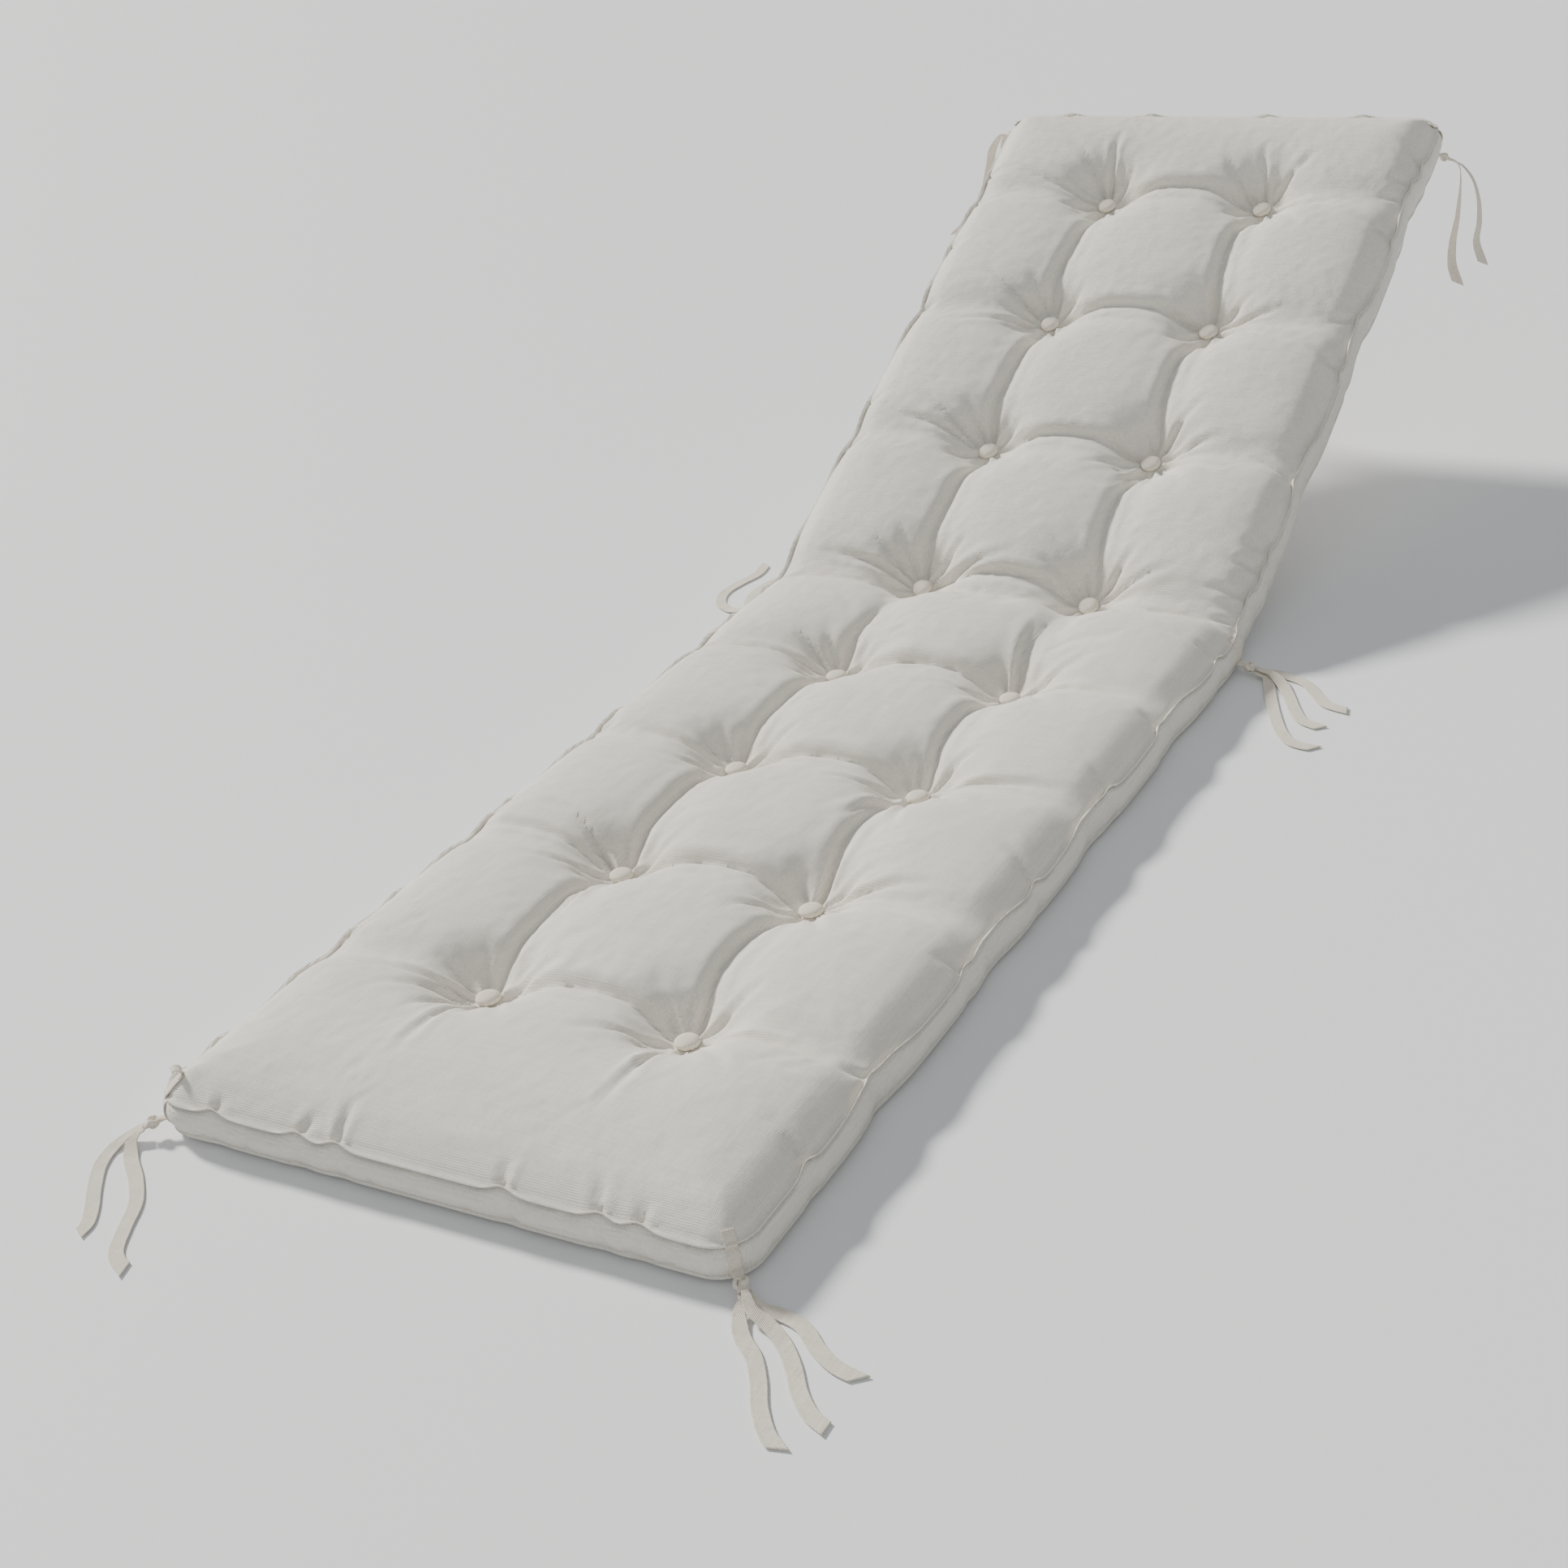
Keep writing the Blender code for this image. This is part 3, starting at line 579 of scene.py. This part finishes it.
def cloth_finish(name, colour, dark, roughness, sheen, thread):
    """Plain-woven cotton: crossing threads, uneven yarn and faint clouding in its dye."""
    material = bpy.data.materials.new(name)
    material.use_nodes = True
    nodes, links = material.node_tree.nodes, material.node_tree.links
    shader = nodes["Principled BSDF"]
    shader.inputs["Roughness"].default_value = roughness
    shader.inputs["Sheen Weight"].default_value = sheen
    shader.inputs["Sheen Roughness"].default_value = 0.45
    shader.inputs["Specular IOR Level"].default_value = 0.22
    place = nodes.new("ShaderNodeTexCoord").outputs["Object"]

    def noise(scale, detail, stretch=(1, 1, 1)):
        mapping = nodes.new("ShaderNodeMapping")
        mapping.inputs["Scale"].default_value = stretch
        links.new(place, mapping.inputs["Vector"])
        texture = nodes.new("ShaderNodeTexNoise")
        texture.inputs["Scale"].default_value = scale
        texture.inputs["Detail"].default_value = detail
        links.new(mapping.outputs["Vector"], texture.inputs["Vector"])
        return texture.outputs["Fac"]

    def maths(kind, a, b):
        node = nodes.new("ShaderNodeMath")
        node.operation = kind
        for socket, value in zip(node.inputs, (a, b)):
            if isinstance(value, (int, float)):
                socket.default_value = value
            else:
                links.new(value, socket)
        return node.outputs[0]

    def threads(axis):
        wave = nodes.new("ShaderNodeTexWave")
        wave.wave_type = "BANDS"
        wave.bands_direction = axis
        wave.inputs["Scale"].default_value = math.pi / (20 * thread)
        wave.inputs["Distortion"].default_value = 0.6
        wave.inputs["Detail"].default_value = 1
        wave.inputs["Detail Scale"].default_value = 1.5
        links.new(place, wave.inputs["Vector"])
        return wave.outputs["Fac"]

    weave = maths("MULTIPLY", threads("X"), threads("Y"))
    yarn = maths("ADD", noise(340, 3, (1, 0.05, 1)), noise(340, 3, (0.05, 1, 1)))
    cloud = noise(5, 3)
    shade = maths("ADD", maths("MULTIPLY", yarn, 0.45), maths("MULTIPLY", cloud, 0.35))
    shade = maths("ADD", shade, maths("MULTIPLY", weave, 0.25))
    ramp = nodes.new("ShaderNodeValToRGB")
    ramp.color_ramp.elements[0].position = 0.35
    ramp.color_ramp.elements[0].color = (*dark, 1)
    ramp.color_ramp.elements[1].position = 0.85
    ramp.color_ramp.elements[1].color = (*colour, 1)
    links.new(shade, ramp.inputs["Fac"])
    links.new(ramp.outputs["Color"], shader.inputs["Base Color"])

    crumple = maths("ADD", maths("MULTIPLY", noise(60, 3), 0.35), maths("MULTIPLY", noise(12, 2), 1.0))
    soft = nodes.new("ShaderNodeBump")
    soft.inputs["Strength"].default_value = 0.9
    soft.inputs["Distance"].default_value = 0.004
    links.new(crumple, soft.inputs["Height"])
    fine = nodes.new("ShaderNodeBump")
    fine.inputs["Strength"].default_value = 0.8
    fine.inputs["Distance"].default_value = 0.0005
    links.new(maths("ADD", weave, maths("MULTIPLY", yarn, 0.8)), fine.inputs["Height"])
    links.new(soft.outputs["Normal"], fine.inputs["Normal"])
    links.new(fine.outputs["Normal"], shader.inputs["Normal"])
    return material


canvas = cloth_finish("canvas", (0.85, 0.81, 0.73), (0.70, 0.655, 0.57), 0.9, 0.12, 0.0008)
cover_mesh.materials.append(canvas)
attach(cover, "root")
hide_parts("cushion")

# Buttons
# Sixteen domed metal buttons, each covered with a disc of the same canvas gathered under its rim, pulled
# down into the cushion by thread through its shank.

BUTTON_RADIUS, BUTTON_HEIGHT = 0.0120, 0.0086
BUTTON_GATHERS = 14
RIM_HEIGHT = 0.0030
BUTTON_CLEAR = 0.0003


def button_mesh():
    """A dome whose rim turns under, with the folds of the gathered cloth rising from beneath it."""
    around_count, up_count = 56, 14
    rings = []
    for level_number in range(up_count + 1):
        turn = math.radians(-62 + 152 * level_number / up_count)
        ring_points = []
        for k in range(around_count):
            angle = 2 * math.pi * k / around_count
            low = max(-math.sin(turn) * 0.9 + 0.55, 0)
            folds = 1 - 0.035 * low * (1 + math.cos(BUTTON_GATHERS * angle + 0.8 * math.sin(3 * angle)))
            radius = BUTTON_RADIUS * math.cos(turn) ** 0.75 * folds
            lift = RIM_HEIGHT + (RIM_HEIGHT if turn < 0 else BUTTON_HEIGHT - RIM_HEIGHT) * math.sin(turn)
            ring_points.append((radius * math.cos(angle), radius * math.sin(angle), lift))
        rings.append(ring_points)
    bm = bmesh.new()
    loops = [[bm.verts.new(p) for p in ring_points] for ring_points in rings[:-1]]
    peak = bm.verts.new((0, 0, BUTTON_HEIGHT))
    for lower, upper in zip(loops, loops[1:]):
        for k in range(around_count):
            n = (k + 1) % around_count
            bm.faces.new([lower[k], lower[n], upper[n], upper[k]])
    for k in range(around_count):
        bm.faces.new([loops[-1][k], loops[-1][(k + 1) % around_count], peak])
    bm.faces.new(loops[0][::-1])
    mesh = bpy.data.meshes.new("covered_button")
    bm.to_mesh(mesh)
    bm.free()
    mesh.shade_smooth()
    return mesh


button_canvas = cloth_finish("button_canvas", (0.83, 0.77, 0.66), (0.68, 0.62, 0.51), 0.85, 0.15, 0.0008)
covered_button = button_mesh()
covered_button.materials.append(button_canvas)
for row, s in enumerate(ROW_PLACES, start=1):
    for side, sign in (("left", -1), ("right", 1)):
        button = bpy.data.objects.new(f"covered_button_{row}_{side}", covered_button)
        scene.collection.objects.link(button)
        button.location = bent(sign * COLUMN, s, BUTTON_FLOOR + BUTTON_CLEAR)
        button.rotation_euler = (float(np.clip((s - FOLD_START) / FOLD_RADIUS, 0, RAISE)), 0, 0)
        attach(button, "root")
        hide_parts(f"button_{row}_{side}")

# Ties
# Six ties of flat woven cotton tape, one at each corner and one at each end of the bend. Each is sewn into
# the border, knotted once close to it, and ends in two or three free tails, cut at a slant.

TAPE_WIDTH, TAPE_THICK, STRAP_HALF = 0.013, 0.0014, 0.0052
TAPE_STEP = 0.0024
NECK_WIDTH, SPREAD_LENGTH, STRAIGHT = 0.005, 0.030, 0.006
CLEAR = 0.0003
KNOT_NECK = (0.0050, 0.0018)
KNOT_LENGTH = 0.022
TAPE_LOWEST = 0.001
KNOT_STEPS = 96
TIES = {
    "front_left": (-0.262, 0.038, 0.024, 225, 12),
    "front_right": (0.262, 0.038, 0.024, 315, 12),
    "bend_left": (-0.262, 1.104, 0.022, 172, 12),
    "bend_right": (0.262, 1.104, 0.022, 350, 12),
    "head_left": (-0.262, 1.962, 0.030, 150, 5),
    "head_right": (0.262, 1.962, 0.024, 30, 28),
}
# How far each tie's strap reaches over the upper seam on to the panel, and the size of the curl at its end.
STRAP_ENDS = {
    "front_left": (0.016, 0.0035),
    "front_right": (0.007, 0.0),
    "bend_left": (0.007, 0.0),
    "bend_right": (0.007, 0.0),
    "head_left": (0.007, 0.0),
    "head_right": (0.007, 0.0),
}
# Each tape: how far to the side of the knot's middle it comes out and how far above it, the heading of its
# width at its end (None where it lies flat), the slant of its cut end, and its route after the knot, in
# x, y and z from the foot edge.
TAPES = {
    "front_left_a": (-0.0033, -0.0012, None, 0.7, (
        (-0.3170, -0.0150, 0.0045),
        (-0.3200, -0.0310, 0.0010),
        (-0.3120, -0.0530, 0.0010),
        (-0.2950, -0.0770, 0.0010),
        (-0.2770, -0.0990, 0.0010),
        (-0.2660, -0.1160, 0.0010),
        (-0.2640, -0.1280, 0.0010),
    )),
    "front_left_b": (0.0033, -0.0012, None, -1.0, (
        (-0.3050, -0.0190, 0.0045),
        (-0.2930, -0.0340, 0.0010),
        (-0.2690, -0.0540, 0.0010),
        (-0.2450, -0.0800, 0.0010),
        (-0.2300, -0.1100, 0.0010),
        (-0.2140, -0.1370, 0.0010),
        (-0.1920, -0.1500, 0.0010),
    )),
    "front_right_a": (0.0033, -0.0012, None, 0.8, (
        (0.3200, -0.0070, 0.0045),
        (0.3380, -0.0060, 0.0010),
        (0.3580, -0.0120, 0.0010),
        (0.3780, -0.0280, 0.0010),
        (0.3990, -0.0400, 0.0010),
        (0.4210, -0.0450, 0.0010),
    )),
    "front_right_b": (-0.0033, -0.0012, None, 0.9, (
        (0.3070, -0.0200, 0.0045),
        (0.3190, -0.0370, 0.0010),
        (0.3380, -0.0530, 0.0010),
        (0.3540, -0.0740, 0.0010),
        (0.3680, -0.0970, 0.0010),
        (0.3850, -0.1170, 0.0010),
        (0.4000, -0.1280, 0.0010),
    )),
    "front_right_c": (0.0, 0.0026, None, -0.5, (
        (0.3170, -0.0160, 0.0080),
        (0.3330, -0.0210, 0.0036),
        (0.3510, -0.0320, 0.0010),
        (0.3700, -0.0510, 0.0010),
        (0.3880, -0.0740, 0.0010),
        (0.4060, -0.0900, 0.0010),
        (0.4230, -0.0980, 0.0010),
    )),
    "bend_left_a": (0.0033, -0.0012, None, 0.6, (
        (-0.3370, 1.1020, 0.0045),
        (-0.3560, 1.1040, 0.0010),
        (-0.3780, 1.1200, 0.0010),
        (-0.3880, 1.1480, 0.0010),
        (-0.3840, 1.1780, 0.0010),
        (-0.3760, 1.2080, 0.0010),
        (-0.3800, 1.2380, 0.0010),
    )),
    "bend_left_b": (-0.0033, -0.0012, None, -0.8, (
        (-0.3330, 1.1160, 0.0045),
        (-0.3430, 1.1310, 0.0010),
        (-0.3500, 1.1580, 0.0010),
        (-0.3450, 1.1880, 0.0010),
        (-0.3350, 1.2170, 0.0010),
        (-0.3330, 1.2460, 0.0010),
        (-0.3400, 1.2600, 0.0010),
    )),
    "bend_right_a": (-0.0033, -0.0012, None, 0.7, (
        (0.3340, 1.0880, 0.0045),
        (0.3430, 1.0700, 0.0010),
        (0.3540, 1.0440, 0.0010),
        (0.3690, 1.0120, 0.0010),
        (0.3870, 0.9790, 0.0010),
        (0.4070, 0.9580, 0.0010),
        (0.4310, 0.9530, 0.0010),
    )),
    "bend_right_b": (0.0033, -0.0012, None, -0.6, (
        (0.3400, 1.1020, 0.0045),
        (0.3580, 1.1010, 0.0010),
        (0.3790, 1.0900, 0.0010),
        (0.3960, 1.0690, 0.0010),
        (0.4140, 1.0500, 0.0010),
        (0.4380, 1.0420, 0.0010),
    )),
    "bend_right_c": (0.0, 0.0026, None, 0.5, (
        (0.3390, 1.0920, 0.0080),
        (0.3540, 1.0800, 0.0034),
        (0.3680, 1.0600, 0.0010),
        (0.3830, 1.0330, 0.0010),
        (0.4000, 1.0090, 0.0010),
        (0.4230, 0.9980, 0.0010),
    )),
    "head_left_a": (0.0033, 0.0, 215, 0.8, (
        (-0.3290, 1.9110, 0.3690),
        (-0.3400, 1.9090, 0.3510),
        (-0.3460, 1.9080, 0.3270),
        (-0.3540, 1.9070, 0.3000),
        (-0.3680, 1.9060, 0.2730),
        (-0.3860, 1.9050, 0.2490),
        (-0.4060, 1.9040, 0.2320),
    )),
    "head_left_b": (-0.0033, 0.0, 262, -0.7, (
        (-0.3240, 1.9220, 0.3680),
        (-0.3300, 1.9270, 0.3500),
        (-0.3320, 1.9290, 0.3230),
        (-0.3330, 1.9290, 0.2940),
        (-0.3360, 1.9290, 0.2650),
        (-0.3420, 1.9280, 0.2370),
        (-0.3500, 1.9260, 0.2150),
    )),
    "head_right_a": (-0.0033, 0.0, 50, 0.8, (
        (0.3230, 1.9080, 0.3380),
        (0.3360, 1.9050, 0.3220),
        (0.3440, 1.9020, 0.2980),
        (0.3460, 1.9000, 0.2700),
        (0.3430, 1.8980, 0.2440),
        (0.3520, 1.8960, 0.2170),
    )),
    "head_right_b": (0.0033, 0.0, 30, 0.9, (
        (0.3130, 1.9200, 0.3370),
        (0.3150, 1.9215, 0.3220),
        (0.3150, 1.9190, 0.2980),
        (0.3130, 1.9160, 0.2680),
        (0.3080, 1.9140, 0.2380),
        (0.3075, 1.9130, 0.2090),
        (0.3160, 1.9110, 0.1840),
    )),
}


def direction(heading, droop):
    flat = math.cos(math.radians(droop))
    turn = math.radians(heading)
    return Vector((flat * math.cos(turn), flat * math.sin(turn), -math.sin(math.radians(droop))))


def side_axes(way, wanted):
    wide = (wanted - way * wanted.dot(way)).normalized()
    return wide, way.cross(wide)


def oval(centre, wide, thick, sides):
    turns = [2 * math.pi * k / sides for k in range(sides)]
    return [centre + wide * math.cos(t) + thick * math.sin(t) for t in turns]


def seat_distance(skin, start, way, wide, thick):
    half_wide, half_thick = KNOT_NECK
    furthest = 0.0
    for point in oval(start, wide * half_wide, thick * half_thick, 8) + [start]:
        hit, _, _, distance = skin.ray_cast(point, way)
        if hit is not None:
            furthest = max(furthest, distance)
    return furthest + CLEAR


def smooth_line(route, step):
    """Points a step apart on one smooth curve through the given ones."""
    ends = [2 * route[0] - route[1]] + route + [2 * route[-1] - route[-2]]
    close = []
    for a, b, c, d in zip(ends, ends[1:], ends[2:], ends[3:]):
        for k in range(24):
            t = k / 24
            close.append(0.5 * (
                2 * b + (c - a) * t + (2 * a - 5 * b + 4 * c - d) * t ** 2
                + (3 * b - a - 3 * c + d) * t ** 3
            ))
    close.append(route[-1])
    lengths = [0.0]
    for a, b in zip(close, close[1:]):
        lengths.append(lengths[-1] + (b - a).length)
    wanted = np.linspace(0, lengths[-1], round(lengths[-1] / step) + 1)
    line = np.stack([np.interp(wanted, lengths, [p[axis] for p in close]) for axis in range(3)], axis=-1)
    return [Vector(p) for p in line], lengths[-1]


def swept_mesh(bm, sections, closed=False):
    """Adds a skin through a row of sections. It is capped at both ends, or closed into a ring."""
    rings = [[bm.verts.new(point) for point in section] for section in sections]
    pairs = list(zip(rings, rings[1:])) + ([(rings[-1], rings[0])] if closed else [])
    for first, second in pairs:
        for k in range(len(first)):
            n = (k + 1) % len(first)
            bm.faces.new([first[k], first[n], second[n], second[k]])
    if not closed:
        bm.faces.new(rings[0][::-1])
        bm.faces.new(rings[-1])


def added_piece(name, bm, material):
    bmesh.ops.recalc_face_normals(bm, faces=bm.faces)
    mesh = bpy.data.meshes.new(name)
    bm.to_mesh(mesh)
    bm.free()
    mesh.shade_smooth()
    mesh.materials.append(material)
    piece = bpy.data.objects.new(name, mesh)
    scene.collection.objects.link(piece)
    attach(piece, "root")
    return piece


def tape_section(centre, wide, thick, half, lift):
    """One section of tape: two faces with a rib at each woven edge, slightly cupped."""
    half_thick = TAPE_THICK / 2
    across = (-1, -0.93, -0.80, -0.45, 0, 0.45, 0.80, 0.93, 1)
    ribs = (0.55, 1.0, 0.72, 0.78, 0.80, 0.78, 0.72, 1.0, 0.55)
    upper, lower = [], []
    for u, rib in zip(across, ribs):
        upper.append(centre + wide * (u * half) + thick * (half_thick * rib + lift * u * u))
        lower.append(centre + wide * (u * half) + thick * (lift * u * u - half_thick * rib))
    return upper + lower[::-1]


def tape_piece(name, route, start_heading, end_heading, slant, material):
    line, length = smooth_line(route, TAPE_STEP)
    for point in line:
        point.z = max(point.z, TAPE_LOWEST)
    last = len(line) - 1
    ways = [(after - before).normalized() for before, after in zip(line, line[2:])]
    ways = [(route[1] - route[0]).normalized()] + ways + [(line[-1] - line[-2]).normalized()]
    sections = []
    for k, (centre, way) in enumerate(zip(line, ways)):
        if end_heading is None:
            wanted = Vector((0, 0, 1)).cross(way)
        else:
            wanted = direction(start_heading + (end_heading - start_heading) * k / last, 0)
        wide, thick = side_axes(way, wanted)
        opened = min(k * TAPE_STEP / SPREAD_LENGTH, 1)
        half = (NECK_WIDTH + (TAPE_WIDTH - NECK_WIDTH) * opened ** 0.8) / 2
        cup = 0.0004 * math.sin(k * 0.11 + start_heading) if end_heading is not None else 0.0
        section = tape_section(centre, wide, thick, half, cup)
        from_end = (last - k) * TAPE_STEP
        slanted = max(1 - from_end / (TAPE_WIDTH * abs(slant)), 0)
        section = [p + way * (slant * (p - centre).dot(wide) * slanted) for p in section]
        sections.append(section)
    bm = bmesh.new()
    swept_mesh(bm, sections)
    piece = added_piece(name, bm, material)
    return piece, line, length


def strap_line(x, s, heading, on_top, curl):
    """Where the strap lies: up the border from its lower seam, over the upper one and on to the panel."""
    turn = math.radians(heading)
    reaches = np.linspace(0.02, 0.07, 400)
    gaps = inside(x + reaches * math.cos(turn), s + reaches * math.sin(turn))
    reach = float(reaches[np.argmax(gaps <= 0)])

    def place(out, height):
        return Vector(bent(x + (reach + out) * math.cos(turn), s + (reach + out) * math.sin(turn), height))

    line = []
    for height in (0.009, 0.014, 0.020, 0.026, 0.031, 0.035):
        line.append((place(0.05, height), place(-0.02, height)))
    for inward in np.linspace(-0.002, on_top, 5):
        line.append((place(-inward, 0.15), place(-inward, 0)))
    points = []
    for outer, inner in line:
        hit, normal, _, _ = cover_skin.ray_cast(outer, (inner - outer).normalized())
        points.append(hit + normal * 0.0009)
    if curl:
        points.append(points[-1] + Vector((-0.2, 0.3, 1.2)) * curl)
        points.append(points[-1] + Vector((-1.0, -0.7, 0.8)) * curl)
        points.append(points[-1] + Vector((-0.6, -0.8, -0.5)) * curl)
    return smooth_line(points, 0.0016)[0]


def knot_piece(name, base, way, wide, thick, strap, material):
    """A strap sewn across the border, and out of it a neck of gathered tape with a single knot in it."""
    bm = bmesh.new()
    sections = []
    for before, centre, after in zip(strap[:1] + strap, strap, strap[1:] + strap[-1:]):
        across, face = side_axes((after - before).normalized(), wide)
        sections.append(tape_section(centre, across, face, STRAP_HALF, 0.0))
    swept_mesh(bm, sections)
    neck = []
    for distance, half_wide, half_thick in (
        (-0.004, 0.0050, 0.0010), (0.003, 0.0050, 0.0012), (0.006, 0.0044, 0.0020), (0.010, 0.0036, 0.0030),
        (0.014, 0.0036, 0.0030), (0.018, 0.0046, 0.0024), (0.0215, 0.0056, 0.0018),
    ):
        neck.append(oval(base + way * distance, wide * half_wide, thick * half_thick, 20))
    swept_mesh(bm, neck)
    middle = base + way * 0.0135
    turns = []
    for k in range(KNOT_STEPS):
        t = 2 * math.pi * k / KNOT_STEPS
        turns.append(
            middle
            + wide * (0.0019 * (math.sin(t) + 2 * math.sin(2 * t)))
            + thick * (0.00145 * (math.cos(t) - 2 * math.cos(2 * t)))
            - way * (0.0030 * math.sin(3 * t))
        )
    sections = []
    for k, centre in enumerate(turns):
        along = (turns[(k + 1) % KNOT_STEPS] - turns[k - 1]).normalized()
        outward = centre - middle
        flat = (outward - along * outward.dot(along)).normalized()
        sections.append(oval(centre, along.cross(flat) * 0.0026, flat * 0.0014, 12))
    swept_mesh(bm, sections, closed=True)
    return added_piece(name, bm, material)


tape_cloth = cloth_finish("tape_cloth", (0.82, 0.76, 0.65), (0.64, 0.58, 0.47), 0.85, 0.12, 0.0007)
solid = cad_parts["cushion"].data
skin = BVHTree.FromPolygons([v.co for v in solid.vertices], [tuple(p.vertices) for p in solid.polygons])
cover_skin = BVHTree.FromPolygons(
    [v.co for v in cover_mesh.vertices], [tuple(p.vertices) for p in cover_mesh.polygons]
)
for tie, (x, s, z, heading, droop) in TIES.items():
    way = direction(heading, droop)
    wide, thick = side_axes(way, direction(heading + 90, 0))
    start = Vector(bent(x, s, z))
    base = start + way * seat_distance(skin, start, way, wide, thick)
    strap = strap_line(x, s, heading, *STRAP_ENDS[tie])
    knot = knot_piece(f"tied_knot_{tie}", base, way, wide, thick, strap, tape_cloth)
    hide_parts(f"knot_{tie}")
    exit_face = base + way * (KNOT_LENGTH + CLEAR)
    for tape, (side, lift, end_heading, slant, route) in TAPES.items():
        if not tape.startswith(tie):
            continue
        first = exit_face + wide * side + thick * lift
        points = [first, first + way * STRAIGHT] + [Vector((a, b + foot_y, c)) for a, b, c in route]
        tail, line, length = tape_piece(
            f"tail_{tape}", points, heading + 90, end_heading, slant, tape_cloth
        )
        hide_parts(f"tape_{tape}")
